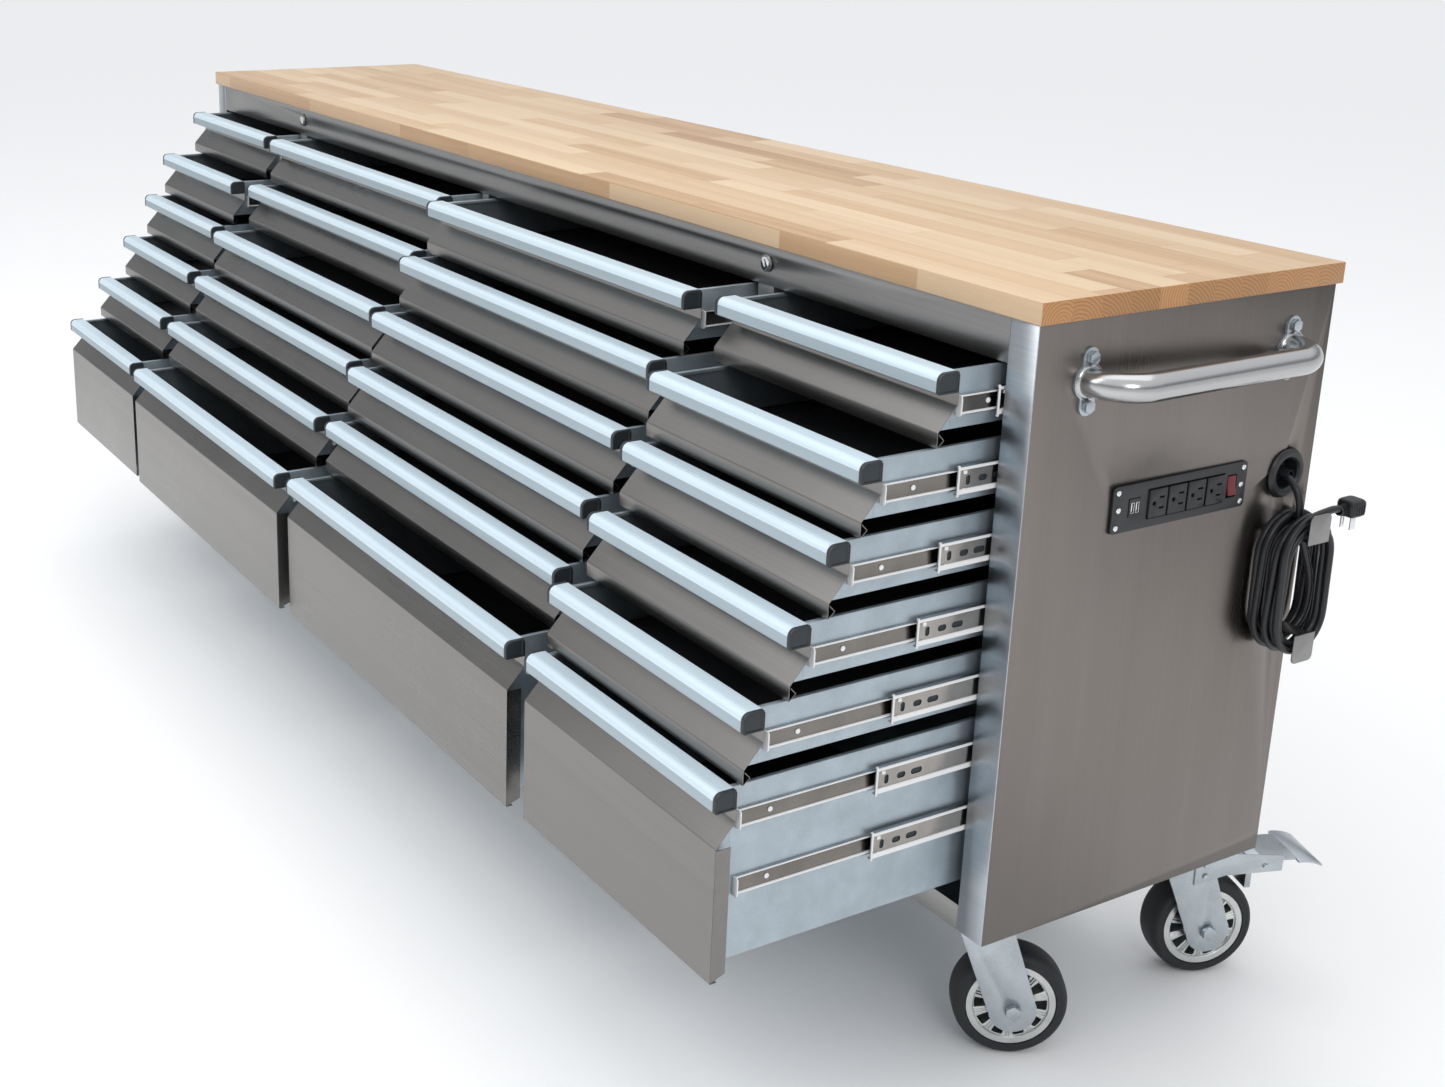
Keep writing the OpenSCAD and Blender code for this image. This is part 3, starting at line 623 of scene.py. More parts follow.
# a point of a loop with straight sides and round ends; turn runs from 0 at the top towards +Y
def loopPoint(turn, halfWidth, halfHeight):
    straight = 2 * (halfHeight - halfWidth)
    arc = math.pi * halfWidth
    along = (turn % 1.0) * (2 * straight + 2 * arc)
    quarter = arc / 2
    if along < quarter:
        angle = along / halfWidth
        return halfWidth * math.sin(angle), halfHeight - halfWidth + halfWidth * math.cos(angle)
    along -= quarter
    if along < straight:
        return halfWidth, halfHeight - halfWidth - along
    along -= straight
    if along < arc:
        angle = along / halfWidth
        return halfWidth * math.cos(angle), -(halfHeight - halfWidth) - halfWidth * math.sin(angle)
    along -= arc
    if along < straight:
        return -halfWidth, -(halfHeight - halfWidth) + along
    along -= straight
    angle = along / halfWidth
    return -halfWidth * math.cos(angle), halfHeight - halfWidth + halfWidth * math.sin(angle)


# a point measured from the coil's back and its middle, in millimetres
def coilPoint(depth, y, z):
    return Vector((coilLow.x + depth * mm, coilY + y * mm, coilZ + z * mm))


# a slow start and a slow end between 0 and 1
def ease(t):
    return t * t * (3 - 2 * t)


# through the grommet, down into the coil, round its turns and out to the plug
def leadPath():
    points = [Vector((panelX + x * mm, grommetY, grommetZ + z * mm)) for x, z in lead["feed"]]
    start = points[-1]
    turns = lead["turns"]
    # down into the coil and onto the inner lane
    joinTurn, joinWide, joinHigh, joinPoints = lead["join"]
    y, z = loopPoint(joinTurn, joinWide, joinHigh)
    goal = coilPoint(turns[0][0], y, z)
    for i in range(1, joinPoints):
        t = i / joinPoints
        s = ease(t)
        points.append(Vector((start.x + (goal.x - start.x) * s,
                              start.y + (goal.y - start.y) * s, start.z + (goal.z - start.z) * t)))
    for k in range(len(turns) - 1):
        for i in range(lead["steps"]):
            t = i / lead["steps"]
            if k == 0 and t < joinTurn:
                continue
            depth, wide, high = [a + (b - a) * ease(t) for a, b in zip(turns[k], turns[k + 1])]
            points.append(coilPoint(depth, *loopPoint(t, wide, high)))
    return points + [coilPoint(lead["tailDepth"], y, z) for y, z in lead["tail"]]


# evens out the corners where two stretches meet
def smoothed(points, rounds):
    for _ in range(rounds):
        points = [points[0], points[1]] + [
            (points[i - 1] + points[i] * 2 + points[i + 1]) / 4 for i in range(2, len(points) - 2)
        ] + [points[-2], points[-1]]
    return points


# a smooth line through given points, with a point every few millimetres
def fill(points, spacing):
    dense = []
    for i in range(len(points) - 1):
        before, first = points[max(i - 1, 0)], points[i]
        second, after = points[i + 1], points[min(i + 2, len(points) - 1)]
        count = max(1, round((second - first).length / spacing))
        for j in range(count):
            t = j / count
            dense.append(0.5 * ((2 * first) + (second - before) * t
                                + (2 * before - 5 * first + 4 * second - after) * t * t
                                + (3 * first - before - 3 * second + after) * t * t * t))
    return dense + [points[-1]]


def makeLead():
    path = fill(smoothed(leadPath(), 3), 5 * mm)
    curve = bpy.data.curves.new("powerLead", "CURVE")
    curve.dimensions = "3D"
    curve.bevel_depth = lead["diameter"] / 2
    curve.bevel_resolution = 3
    curve.use_fill_caps = True
    spline = curve.splines.new("POLY")
    spline.points.add(len(path) - 1)
    for point, place in zip(spline.points, path):
        point.co = (*place, 1)
    cord = bpy.data.objects.new("powerLead", curve)
    bpy.context.scene.collection.objects.link(cord)
    cord.data.materials.append(finishes["cordSheath"])
    spline.use_smooth = True
    length = sum((b - a).length for a, b in zip(path, path[1:]))
    print("lead length", round(length, 3))
    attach(cord, "chest")
    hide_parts("power_cord", "cord_coil")
    return cord


plugShape = {
    "bevel": 6.5, "head": 22, "neck": 10, "axis": 12, "face": 3, "faceDeep": 0.6,
    "ribs": 5, "ribPitch": 2, "ribStep": 0.35, "grips": 4, "gripPitch": 4, "gripReach": 13,
    "bladeHalf": 6.35, "bladeStart": 16, "bladeEnd": 22.3, "pinPlace": 31, "pinRadius": 2.4,
    "metalTop": 20}


# right-angle plug: a rounded body, a ribbed strain relief, two blades and an earth pin
def makePlug():
    low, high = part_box("plug")
    shape = plugShape
    x = (low.x + high.x) / 2
    z = high.z - shape["axis"] * mm
    bodyFront = low.y + shape["neck"] * mm
    body = makeBlock("plugBody", (low.x, bodyFront, high.z - shape["head"] * mm),
                     (high.x, high.y, high.z), shape["bevel"] * mm, 4)
    openMesh(body)
    pickFaces(body, lambda place, normal: normal.y > 0.9)
    bpy.ops.mesh.inset(thickness=shape["face"] * mm, depth=-shape["faceDeep"] * mm)
    rest()
    profile = [(4.7, 0), (5.6, 0)]
    for i in range(shape["ribs"]):
        y = 1 + i * shape["ribPitch"]
        wide = i * shape["ribStep"]
        profile += [(6.4 + wide, y), (6.4 + wide, y + 0.9)]
        profile += [(5.5 + wide, y + 1.1), (5.5 + wide, y + 1.8)]
    profile += [(7.2, 12), (4.7, 12)]
    relief = makeTurned("plugRelief", inMetres(profile), 28)
    relief.data.transform(Matrix.Translation((x, low.y, z)) @ Matrix.Rotation(math.pi / 2, 4, "Z"))
    cleanMesh(relief)
    grips = []
    for side in (-1, 1):
        for i in range(shape["grips"]):
            y = bodyFront + (7 + i * shape["gripPitch"]) * mm
            edge = x + side * shape["gripReach"] * mm
            grips.append(makeBlock("plugGrip", (edge - 0.8 * mm, y, z - 6 * mm),
                                   (edge + 0.8 * mm, y + 1.6 * mm, z + 6 * mm), 0.5 * mm))
    case = join("plugCase", [body, relief] + grips)
    complete(case, "plugPlastic", "chest", ("plug",))
    metalTop = high.z - shape["metalTop"] * mm
    pins = []
    for side in (-1, 1):
        middle = x + side * shape["bladeHalf"] * mm
        pins.append(makeBlock(
            "plugBlade", (middle - 0.75 * mm, low.y + shape["bladeStart"] * mm, low.z + 3 * mm),
            (middle + 0.75 * mm, low.y + shape["bladeEnd"] * mm, metalTop), 0.5 * mm))
    pins.append(makeRod("plugPin", (x, low.y + shape["pinPlace"] * mm, metalTop),
                        shape["pinRadius"] * mm, (0, 0, low.z - metalTop), 20, 1.2 * mm))
    blades = complete(join("plugBlades", pins), "chrome", "chest", ("plug",))
    return case, blades


sleeveBack = 15.5 * mm


# tapered sleeve round the lead where it comes through the grommet
def makeSleeve():
    profile = [(4.8, 0), (8.2, 0), (8.2, 3), (7.4, 4), (7.2, 9), (6.7, 10), (6.5, 14), (6.1, 15),
               (5.9, 19), (5.5, 20), (5.2, 24), (4.8, 24)]
    sleeve = makeTurned("leadSleeve", inMetres(profile), 32)
    sleeve.data.transform(Matrix.Translation((panelX - sleeveBack, grommetY, grommetZ)))
    return complete(sleeve, "cordSheath", "chest")


powerLead = makeLead()
plugCase, plugBlades = makePlug()
makeSleeve()
print("lead, plug and sleeve are made")


# ---- worktop and cabinet

def makeWorktop():
    top = makeBlock("worktopSlab", topLow, topHigh, 1.3 * mm, 3)
    complete(top, "wood", "chest", ("worktop",))


panelShape = {"fold": 1.6 * mm, "edge": 0.25 * mm}


# folded end panel: brushed upright on its side and crosswise on its stile; the one sheet is painted two
# tones, a dark warm painted reflection on its side and a pale bluish painted highlight on its stile
def makeEndPanel(node, name, side):
    panel = copyNode(node, name, 0)
    low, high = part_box(node)
    outer = high.x if side > 0 else low.x
    openMesh(panel, "EDGE")
    pickEdges(panel, lambda place, way: abs(way.z) > 0.99 and abs(place.x - outer) < 0.0001
              and (abs(place.y - low.y) < 0.0001 or abs(place.y - high.y) < 0.0001))
    bpy.ops.mesh.bevel(offset=panelShape["fold"], segments=4, profile=0.5)
    rest()
    softenEdges(panel, panelShape["edge"], 1, 50)
    complete(panel, None, "chest", (node,), 40)
    setFinish(panel, "endSteelPaintedReflection", "stileSteelPaintedHighlight")
    # faces towards the front take the stile's painted highlight, the rest the side's painted reflection
    for face in panel.data.polygons:
        face.material_index = 1 if face.normal.y < -0.7 else 0


def dressNode(node, finish):
    setFinish(frame["nodes"][node], finish)


def makeCabinet():
    makeWorktop()
    makeEndPanel("right_side_panel", "endPanelRight", 1)
    makeEndPanel("left_side_panel", "endPanelLeft", -1)
    refine("front_rails", "frontRails", 0.3, "railSteel")
    dressNode("back_panel", "railSteel")
    # the base pan and dividers inside the cabinet take the painted shade
    dressNode("base_pan", "innerZincPaintedShade")
    dressNode("divider_walls", "innerZincPaintedShade")
    refine("cabinet_slides", "slideChannels", 0.3, "slideSteel", segments=1)
    for side in ("left", "right"):
        lock = "lock_" + side
        refine(lock, "lockCylinder_" + side, 0.5, "chrome", lock)


makeCabinet()
print("cabinet and worktop are made")


# ---- drawers, modelled once for each width and depth, from the pull's back plane and its top

pull = {"deep": 26.2, "high": 23, "radius": 9, "cap": 6}
front = {"neck": 36.8, "slopeEnd": 63.8, "slopeDeep": 24.0, "sheet": 0.8, "hem": 9, "flange": 20}
box = {"inset": 11.4, "back": 419.6, "hem": 5, "lift": 18, "shallow": 65.6}
slide = {"drop": 40, "second": 80, "start": 10, "length": 396, "half": 11.5,
         "midStart": 14, "midLength": 346, "midHalf": 15.5, "rivets": (52, 210, 372),
         # start, end and half height of each slot in the middle member's web
         "slots": [(12, 18, 5.5), (30, 42, 3.6), (50, 66, 3.6)]}


def pullOutline(inset=0.0, groove=True):
    deep, high, radius = pull["deep"] - inset, pull["high"] - inset, pull["radius"]
    top = -inset
    points = [(-0.2, -high), (-0.2, top)]
    if groove:
        points += [(-15.4, top), (-15.7, top - 0.6), (-16.5, top - 0.6), (-16.8, top)]
    for i in range(9):
        angle = math.radians(i * 90 / 8)
        points.append((-deep + radius - radius * math.sin(angle),
                       top - radius + radius * math.cos(angle)))
    points += [(-deep, -high + 1.5), (-deep + 1.5, -high)]
    return points


def inMm(points, x=0.0):
    return [Vector((x * mm, y * mm, z * mm)) for y, z in points]


# from one side of a drawer to the other
def acrossDrawer(width):
    return Matrix.Translation((width * mm, 0, 0)) @ Matrix.Scale(-1, 4, (1, 0, 0))


def makePull(width):
    bar = makeBar("pull", inMm(pullOutline(), pull["cap"]), ((width - 2 * pull["cap"]) * mm, 0, 0))
    setFinish(bar, "pullAluminium", "pullPaintedShade")
    # the lower front faces get the painted shade, a darker copy of the same aluminium
    for face in bar.data.polygons:
        face.material_index = 1 if face.center.z < -pull["radius"] * mm and face.normal.y < -0.5 else 0
    return bar


def makeCaps(width):
    outline = pullOutline(-0.15, False)
    cap = makeBar("cap", inMm(outline, 0.1), ((pull["cap"] - 0.2) * mm, 0, 0))
    softenEdges(cap, 0.7 * mm, 2, 50)
    openMesh(cap)
    pickFaces(cap, lambda place, normal: normal.x < -0.9)
    bpy.ops.mesh.inset(thickness=2.2 * mm, depth=-0.5 * mm)
    rest()
    other = mirrored(cap, "capFar", acrossDrawer(width))
    caps = join("caps", [cap, other])
    setFinish(caps, "capPlastic")
    return caps


def makeFront(width, height, deep):
    slope, knee, foot = front["slopeDeep"], front["neck"], front["slopeEnd"]
    folds = [(0.5, -2.6), (0.5, -knee), (-slope, -foot), (-slope, -height + 0.4),
             (-slope + front["hem"], -height + 0.4)]
    if not deep:
        # the band's foot is folded back to a ridge and up to the tray
        folds[-1] = (-slope + front["hem"], -height + 8)
        folds.append((-slope + 1.6, -height + 15.6))
    parts = [makeSheet("front", inMm(folds), (width * mm, 0, 0), front["sheet"] * mm, 1.1 * mm)]
    if deep:
        for x in (0.4, width - 0.4):
            near, far = -slope + 0.9, -slope + front["flange"]
            flange = [(near, -foot - 2), (near, -height + 1), (far, -height + 8), (far, -foot - 2)]
            inward = front["sheet"] if x < 1 else -front["sheet"]
            parts.append(makeBar("flange", inMm(flange, x), (inward * mm, 0, 0)))
    face = join("front", parts)
    setFinish(face, "frontSteel")
    return face


# the height of a drawer's floor, down from its top
def floorLevel(height, deep):
    return -(height - box["lift"]) if deep else -box["shallow"]


def makeBox(width, height, deep):
    inset, back, hem = box["inset"], box["back"], box["hem"]
    floorZ = floorLevel(height, deep)
    slope = front["slopeDeep"]
    sides = []
    for x, inward in ((inset, 1), (width - inset, -1)):
        folds = [(x + inward * hem, -6), (x + inward * hem, -2.2), (x, -2.2), (x, floorZ)]
        sides.append(makeSheet("side", [Vector((a, 1.4, b)) * mm for a, b in folds],
                               (0, (back - 1.4) * mm, 0), 0.8 * mm, 0.6 * mm))
        gusset = [(1.2, -39.4), (1.2, floorZ), (-slope + 1.4, floorZ),
                  (-slope + 1.4, -front["slopeEnd"] - 0.6)]
        sides.append(makeBar("gusset", inMm(gusset, x - 0.4), (0.8 * mm, 0, 0)))
    plate = [(inset, -slope + 1.6, floorZ), (inset, back, floorZ)]
    sides.append(makeSheet("floor", [Vector(p) * mm for p in plate], ((width - 2 * inset) * mm, 0, 0),
                           0.8 * mm))
    rear = [(back, floorZ), (back, -2.2), (back - hem, -2.2), (back - hem, -6)]
    sides.append(makeSheet("rear", inMm(rear, inset + hem), ((width - 2 * inset - 2 * hem) * mm, 0, 0),
                           0.8 * mm, 0.6 * mm))
    tray = join("box", sides)
    setFinish(tray, "boxZinc")
    return tray


def makeLiner(width, height, deep):
    floorZ = floorLevel(height, deep)
    inset = box["inset"] + 2.2
    mat = makeBlock("liner", Vector((inset, -front["slopeDeep"] + 4, floorZ + 0.5)) * mm,
                    Vector((width - inset, box["back"] - 3, floorZ + 2.5)) * mm, 0.6 * mm, 2)
    openMesh(mat)
    pickFaces(mat, lambda place, normal: normal.z > 0.9)
    bpy.ops.mesh.inset(thickness=6 * mm, depth=-0.4 * mm)
    rest()
    setFinish(mat, "liner")
    return mat


# the web of a slide is painted darker and browner than its lips of the same steel, a painted reflection
# of a dark surround
def paintWebReflection(rail, drop, reach):
    for face in rail.data.polygons:
        onWeb = abs(face.normal.x) > 0.9 and abs(face.center.z + drop * mm) < reach * mm
        face.material_index = 1 if onWeb else 0


# the slide member on the drawer: a channel with raised edges, a front tab and rivets
def makeRunner(drop):
    half = slide["half"]
    folds = [(7.7, -drop + half - 0.4), (10.4, -drop + half - 0.4),
             (10.4, -drop - half + 0.4), (7.7, -drop - half + 0.4)]
    rail = makeSheet("runner", [Vector((x, slide["start"], z)) * mm for x, z in folds],
                     (0, slide["length"] * mm, 0), 0.8 * mm, 0.9 * mm)
    setFinish(rail, "slideSteel", "slideWebPaintedReflection")
    # the runner's web gets the painted reflection
    paintWebReflection(rail, drop, half - 2)
    parts = [rail]
    for edge in (half - 2.9, -half + 0.1):
        lip = [(10.2, edge), (8.2, edge + 0.1), (7.5, edge + 1.4), (8.2, edge + 2.7), (10.2, edge + 2.8)]
        parts.append(makeBar("lip", [Vector((x, slide["start"] + 0.5, z - drop)) * mm for x, z in lip],
                             (0, (slide["length"] - 1) * mm, 0)))
    tab = makeBlock("tab", Vector((2.2, 8, -drop - half)) * mm, Vector((10.8, 9.8, -drop + half)) * mm)
    openMesh(tab, "EDGE")
    pickEdges(tab, lambda place, way: abs(way.y) > 0.9 and place.x < 4 * mm)
    bpy.ops.mesh.bevel(offset=3.5 * mm, segments=4)
    rest()
    softenEdges(tab, 0.4 * mm, 2, 50)
    parts.append(tab)
    for y in slide["rivets"]:
        parts.append(makeRod("rivet", Vector((10.2, y, -drop)) * mm, 3.1 * mm,
                             (-1.7 * mm, 0, 0), 16, 0.8 * mm))
    return join("runner", parts)


# a deep drawer has a second pair of slides below the first
def slideDrops(deep):
    return [slide["drop"], slide["drop"] + slide["second"]] if deep else [slide["drop"]]


# one member of every slide of a drawer, left and right
def makeMembers(make, name, width, deep):
    parts = []
    for drop in slideDrops(deep):
        near = make(drop)
        parts += [near, mirrored(near, name + "Far", acrossDrawer(width))]
    return join(name + "s", parts)


# the middle member of a slide: a channel with raised lips, slots through its web and a folded front
def makeMiddle(drop):
    half = slide["midHalf"]
    folds = [(7.0, -drop + half), (2.6, -drop + half), (2.6, -drop - half), (7.0, -drop - half)]
    rail = makeSheet("middle", [Vector((x, 0, z)) * mm for x, z in folds],
                     (0, slide["midLength"] * mm, 0), 0.9 * mm, 1.2 * mm)
    for start, end, tall in slide["slots"]:
        cutter = makeBlock("slot", Vector((0, start, -drop - tall)) * mm,
                           Vector((5, end, -drop + tall)) * mm)
        openMesh(cutter, "EDGE")
        pickEdges(cutter, lambda place, way: abs(way.x) > 0.9)
        bpy.ops.mesh.bevel(offset=min(tall, (end - start) / 2) * 0.95 * mm, segments=6)
        rest()
        useModifier(rail, "BOOLEAN", operation="DIFFERENCE", object=cutter)
        bpy.data.objects.remove(cutter)
    setFinish(rail, "slideSteel", "middleWebPaintedReflection", "capPlastic")
    # the middle member's web gets the painted reflection
    paintWebReflection(rail, drop, half - 5)
    # lips rolled along both edges, the lower one broader
    high = [(2.4, half - 3.6), (1.2, half - 3.2), (0.7, half - 1.8), (1.2, half - 0.4),
            (2.4, half - 0.2)]
    low = [(2.4, -half + 0.2), (1.0, -half + 0.6), (0.5, -half + 3.2), (1.0, -half + 5.8),
           (2.4, -half + 6.4)]
    parts = [rail]
    for lip in (high, low):
        parts.append(makeBar("lip", [Vector((x, 2, z - drop)) * mm for x, z in lip],
                             (0, (slide["midLength"] - 2) * mm, 0)))
    # the front is folded out, with a foot beyond each edge
    parts.append(makeBlock("stop", Vector((0.6, 0, -drop - half - 2)) * mm,
                           Vector((3.6, 2.2, -drop + half + 2)) * mm, 0.5 * mm))
    for z in (half - 6, -half + 5):
        parts.append(makeBlock("detent", Vector((0.4, 7, z - drop - 2)) * mm,
                               Vector((2.6, 12, z - drop + 2)) * mm, 0.8 * mm))
    # the dark retainer of the balls shows through the slots
    retainer = makeBlock("retainer", Vector((3.6, 8, -drop - half + 4)) * mm,
                         Vector((4.4, 150, -drop + half - 4)) * mm, 0.3 * mm, 1)
    setFinish(retainer, "capPlastic")
    parts.append(retainer)
    return join("middle", parts)


def makeDrawerKit(width, height, deep):
    return {
        "pull": makePull(width), "caps": makeCaps(width), "front": makeFront(width, height, deep),
        "box": makeBox(width, height, deep), "liner": makeLiner(width, height, deep),
        "runners": makeMembers(makeRunner, "runner", width, deep),
        "middles": makeMembers(makeMiddle, "middle", width, deep)}


opened = {joint["child"]: -joint["range_m"][0] for joint in frame["joints"]
          if joint["child"].startswith("drawer_")}


def makeDrawers():
    kits = {}
    for column in range(1, 5):
        for row in range(1, 7):
            node = "drawer_%d_%d" % (column, row)
            low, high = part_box(node)
            width, height = round((high.x - low.x) / mm, 2), round((high.z - low.z) / mm, 2)
            deep = height > 120
            key = (round(width), deep)
            if key not in kits:
                kits[key] = makeDrawerKit(width, height, deep)
            place = Vector((low.x, low.y + pull["deep"] * mm, high.z))
            for part, template in kits[key].items():
                name = "%s_%d_%d" % (part, column, row)
                shift = Vector(place)
                if part == "middles":
                    shift.y += slide["midStart"] * mm + opened[node] / 2
                piece = copyTo(template, name, Matrix.Translation(shift))
                take(piece)
                bpy.ops.object.shade_smooth_by_angle(angle=math.radians(32))
                if part == "middles":
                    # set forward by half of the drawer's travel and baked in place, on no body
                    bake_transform(piece)
                else:
                    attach(piece, node)
                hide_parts(node)
    for kit in kits.values():
        for template in kit.values():
            bpy.data.objects.remove(template)


makeDrawers()
print("drawers are made")


# ---- handle, power strip, grommet and hooks

def makeHandle():
    low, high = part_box("push_handle")
    radius = 16 * mm
    bend = high.x - radius - low.x
    z = (low.z + high.z) / 2
    first, last = low.y + radius, high.y - radius
    weld = [(16.1, 0), (19.5, 0), (18.4, 1.6), (16.6, 2.6), (16.1, 2.6)]
    rest()
    bpy.ops.mesh.primitive_circle_add(vertices=36, radius=radius, location=(low.x, first, z),
                                      rotation=(0, math.pi / 2, 0))
    tube = bpy.context.object
    tube.name = "handleTube"
    settle(tube)
    bpy.ops.object.mode_set(mode="EDIT")
    bpy.ops.mesh.select_all(action="SELECT")
    bpy.ops.mesh.spin(steps=16, angle=-math.pi / 2, center=(low.x, first + bend, z), axis=(0, 0, 1))
    bpy.ops.mesh.extrude_region_move(
        TRANSFORM_OT_translate={"value": (0, last - first - 2 * bend, 0)})
    bpy.ops.mesh.spin(steps=16, angle=-math.pi / 2, center=(low.x, last - bend, z), axis=(0, 0, 1))
    bpy.ops.mesh.select_all(action="SELECT")
    bpy.ops.mesh.remove_doubles(threshold=0.00001)
    bpy.ops.mesh.normals_make_consistent(inside=False)
    rest()
    useModifier(tube, "SOLIDIFY", thickness=2 * mm, offset=-1)
    complete(tube, "tubeSteel", "chest", ("push_handle",), 50)
    refine("handle_fasteners", "handleFeet", 0.6, "casterZinc")
    collars = []
    for y in (first, last):
        collar = makeTurned("collar", inMetres(weld), 36)
        collar.data.transform(Matrix.Translation((low.x + 0.2 * mm, y, z)))
        collars.append(collar)
    complete(join("handleWelds", collars), "tubeSteel", "chest")


# the screws' distances from the strip's edges, and the two small sockets
stripShape = {"corner": 7, "side": 9, "usb": 34, "usbHalfGap": 3.75, "usbDeep": 5}


def makeStrip():
    refine("power_strip", "stripCase", 0.7, "stripCoat", segments=3, angle=40)
    refine("power_outlets", "stripOutlets", 0.5, "socketPlastic", angle=40)
    refine("power_switch", "stripRocker", 0.6, "rockerPlastic", "power_switch", 3)
    low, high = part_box("power_strip")
    midZ = (low.z + high.z) / 2
    screws = []
    corner, side = stripShape["corner"] * mm, stripShape["side"] * mm
    spots = [(low.y + corner, high.z - corner), (low.y + corner, low.z + corner),
             (high.y - corner, high.z - corner), (high.y - corner, low.z + corner),
             (low.y + side, midZ), (high.y - side, midZ)]
    for y, z in spots:
        head = makeRod("screw", (high.x - 0.2 * mm, y, z), 3.4 * mm, (1.6 * mm, 0, 0), 20, 0.9 * mm)
        screws.append(head)
        for turn in (0.5, 0.5 + math.pi / 2):
            slotBar = makeBlock("cross", (-0.25 * mm, -1.9 * mm, -0.35 * mm),
                                (0.25 * mm, 1.9 * mm, 0.35 * mm))
            slotBar.data.transform(Matrix.Translation((high.x + 1.3 * mm, y, z))
                                   @ Matrix.Rotation(turn, 4, "X"))
            screws.append(slotBar)
    complete(join("stripScrews", screws), "chrome", "chest")
    shells = []
    inner = high.x - stripShape["usbDeep"] * mm
    rim = [(-2.2, -5.8), (2.2, -5.8), (2.2, 5.8), (-2.2, 5.8), (-2.2, -5.8)]
    for way in (-1, 1):
        y = low.y + (stripShape["usb"] + way * stripShape["usbHalfGap"]) * mm
        shells.append(makeSheet("usb", [Vector((inner, y + a * mm, midZ + b * mm)) for a, b in rim],
                                (6.2 * mm, 0, 0), 0.45 * mm))
        shells.append(makeBlock("tongue", (inner, y - 0.4 * mm, midZ - 4.4 * mm),
                                (high.x, y + 0.9 * mm, midZ + 4.4 * mm), 0.2 * mm))
    complete(join("usbShells", shells), "chrome", "chest")


def makeGrommetAndHooks():
    refine("cord_grommet", "grommetRing", 0.5, "socketPlastic", angle=35)
    hooks = copyNode("cord_hooks", "cordHooks", 0)
    low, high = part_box("cord_hooks")
    openMesh(hooks, "EDGE")
    pickEdges(hooks, lambda place, way: abs(way.x) > 0.95
              and min(abs(place.z - high.z), abs(place.z - low.z)) < 1 * mm)
    bpy.ops.mesh.bevel(offset=7 * mm, segments=6)
    rest()
    softenEdges(hooks, 0.5 * mm, 2, 40)
    complete(hooks, "railSteel", "chest", ("cord_hooks",))


makeHandle()
makeStrip()
makeGrommetAndHooks()
print("handle, strip, grommet and hooks are made")


# ---- casters

wheel = {
    "windows": 10, "stepsPerWindow": 8, "web": 39,
    # radius and distance along the axle, one half of each turned piece
    "tyreSide": [(55.2, 23), (58, 23), (60.5, 22.5), (62.5, 23), (64.8, 22.2), (67, 20.2),
                 (68.7, 17), (69.6, 13), (70, 8)],
    "ringSide": [(45.5, 21), (46.5, 22), (54, 22), (55, 21)],
    "hubSide": [(6.2, 28.6), (13, 28.6), (14.5, 27.6), (16, 22), (19.5, 20.5)],
    "coreSide": [(20, 9), (45, 9)]}


# a turned piece that is the same on both sides of the wheel's middle
def makeEven(name, side, steps):
    near = [(radius, -along) for radius, along in side]
    return makeTurned(name, inMetres(near + side[::-1]), steps)


def makeTyre():
    tyre = makeEven("tyre", wheel["tyreSide"], 80)
    # a dark core closes the windows of the rim half way through
    tyre = join("tyre", [tyre, makeEven("core", wheel["coreSide"], 60)])
    setFinish(tyre, "tyreRubber")
    return tyre


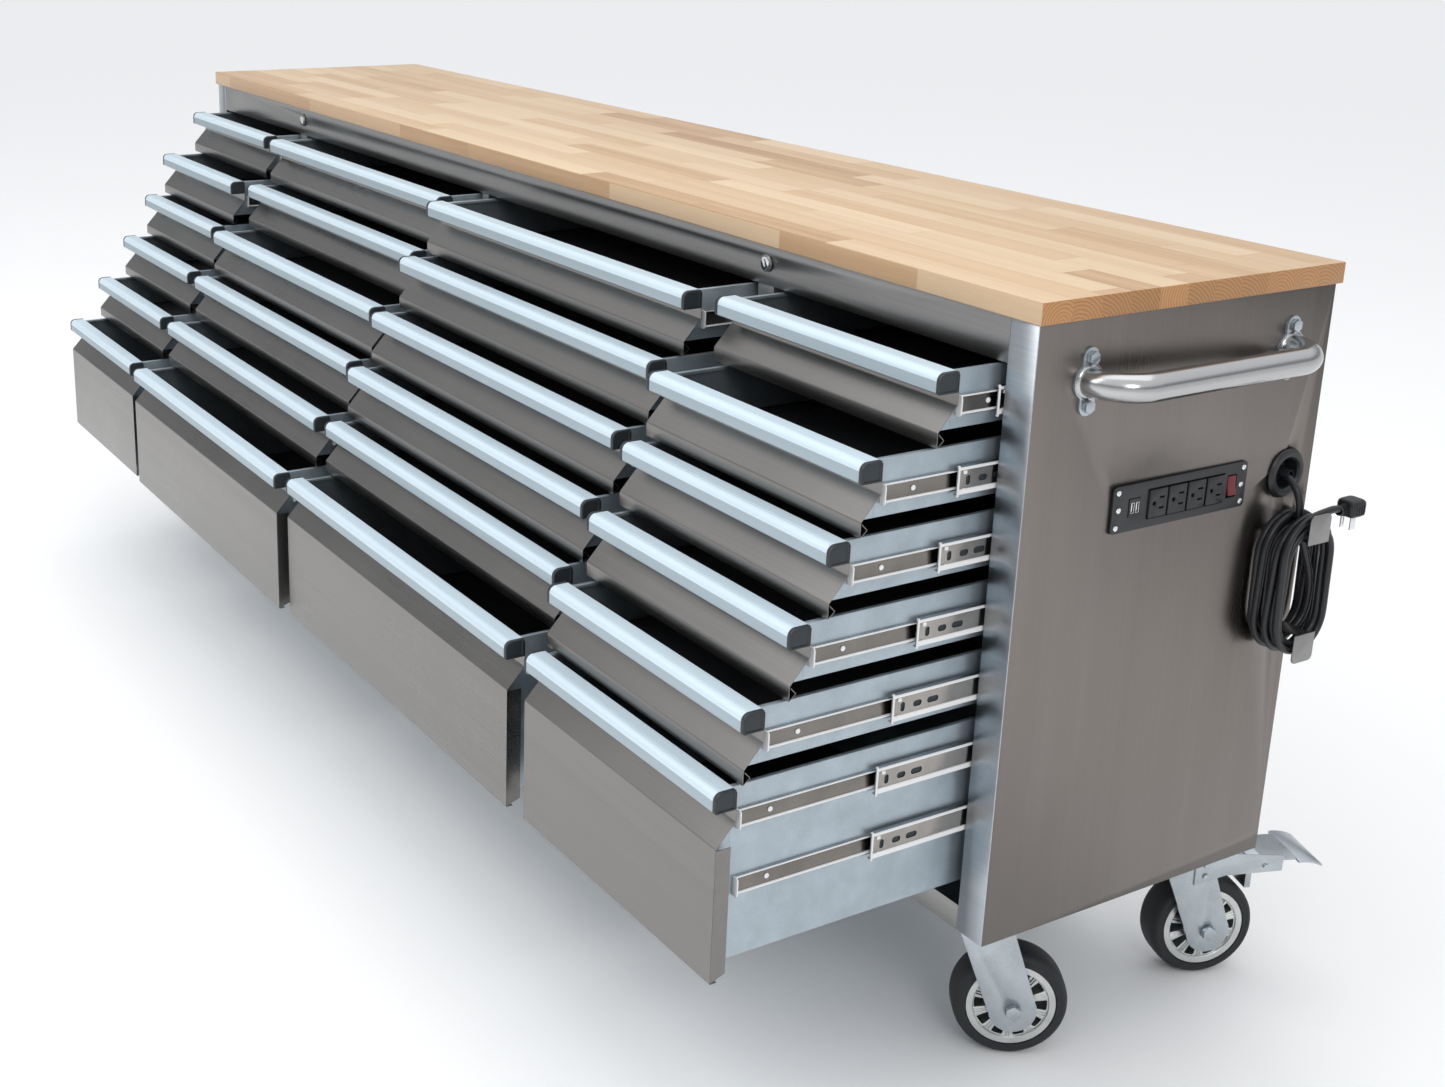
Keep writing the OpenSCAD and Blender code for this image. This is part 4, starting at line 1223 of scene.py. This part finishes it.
# the rim: a flat ring, a hub and a web with rounded windows between paired spokes
def makeRim():
    ring = makeEven("ring", wheel["ringSide"], 60)
    hub = makeEven("hub", wheel["hubSide"], 40)
    perWindow = wheel["stepsPerWindow"]
    steps = wheel["windows"] * perWindow
    web = drawLine("web", [(0, 0, r * mm) for r in (18, 22, 24.5, 41.5, 44, 47)])
    bpy.ops.mesh.spin(steps=steps, angle=math.tau, center=(0, 0, 0), axis=(1, 0, 0))
    cleanMesh(web)
    openMesh(web)

    def inWindow(place, normal):
        radius = math.hypot(place.y, place.z) / mm
        step = int(math.degrees(math.atan2(place.y, place.z)) % 360 / (360 / steps)) % perWindow
        atEdge = step in (1, perWindow - 2)
        inside = 22 < radius < 44 and 0 < step < perWindow - 1
        return inside and not (atEdge and (radius < 33 or radius > 42))

    pickFaces(web, inWindow)
    bpy.ops.mesh.delete(type="FACE")
    rest()
    useModifier(web, "SOLIDIFY", thickness=wheel["web"] * mm, offset=0)
    softenEdges(web, 1.0 * mm, 2, 50)
    ribs = []
    for i in range(wheel["windows"]):
        for side in (-1, 1):
            rib = makeBlock("rib", (19 * mm, side * 1.7 * mm - 0.7 * mm, 18 * mm),
                            (21 * mm, side * 1.7 * mm + 0.7 * mm, 46.5 * mm), 0.5 * mm, 1)
            turn = Matrix.Rotation(math.tau * i / wheel["windows"], 4, "X")
            rib.data.transform(turn)
            ribs += [rib, mirrored(rib, "ribFar", Matrix.Scale(-1, 4, (1, 0, 0)))]
    rim = join("rim", [ring, hub, web] + ribs)
    setFinish(rim, "rimZinc")
    return rim


def makeCasters():
    tyre, rim = makeTyre(), makeRim()
    joints = {joint["child"]: joint for joint in frame["joints"]}
    for end in ("front", "rear"):
        for column in ("left", "middle", "right"):
            tag = "%s_%s" % (end, column)
            joint = joints["wheel_" + tag]
            axis = Vector(joint["axis"])
            turn = Matrix.Rotation(math.atan2(axis.y, axis.x), 4, "Z")
            place = Matrix.Translation(Vector(joint["pos_m"])) @ turn
            for template, name, slotName in ((tyre, "tyre_", "tyre"), (rim, "rim_", "caster_zinc")):
                piece = copyTo(template, name + tag, place)
                complete(piece, None, "wheel_" + tag, ("wheel_" + tag,))
            fork = "fork_" + tag
            refine(fork, "casterFork_" + tag, 0.9, "casterZinc", fork, angle=40)
            if end == "rear":
                pedal = "brake_pedal_" + column
                refine(pedal, "brakePedal_" + column, 0.7, "casterZinc", pedal,
                       angle=40)
    for template in (tyre, rim):
        bpy.data.objects.remove(template)
    refine("caster_plates", "casterPlates", 0.6, "casterZinc", angle=40)


makeCasters()
print("casters are made")
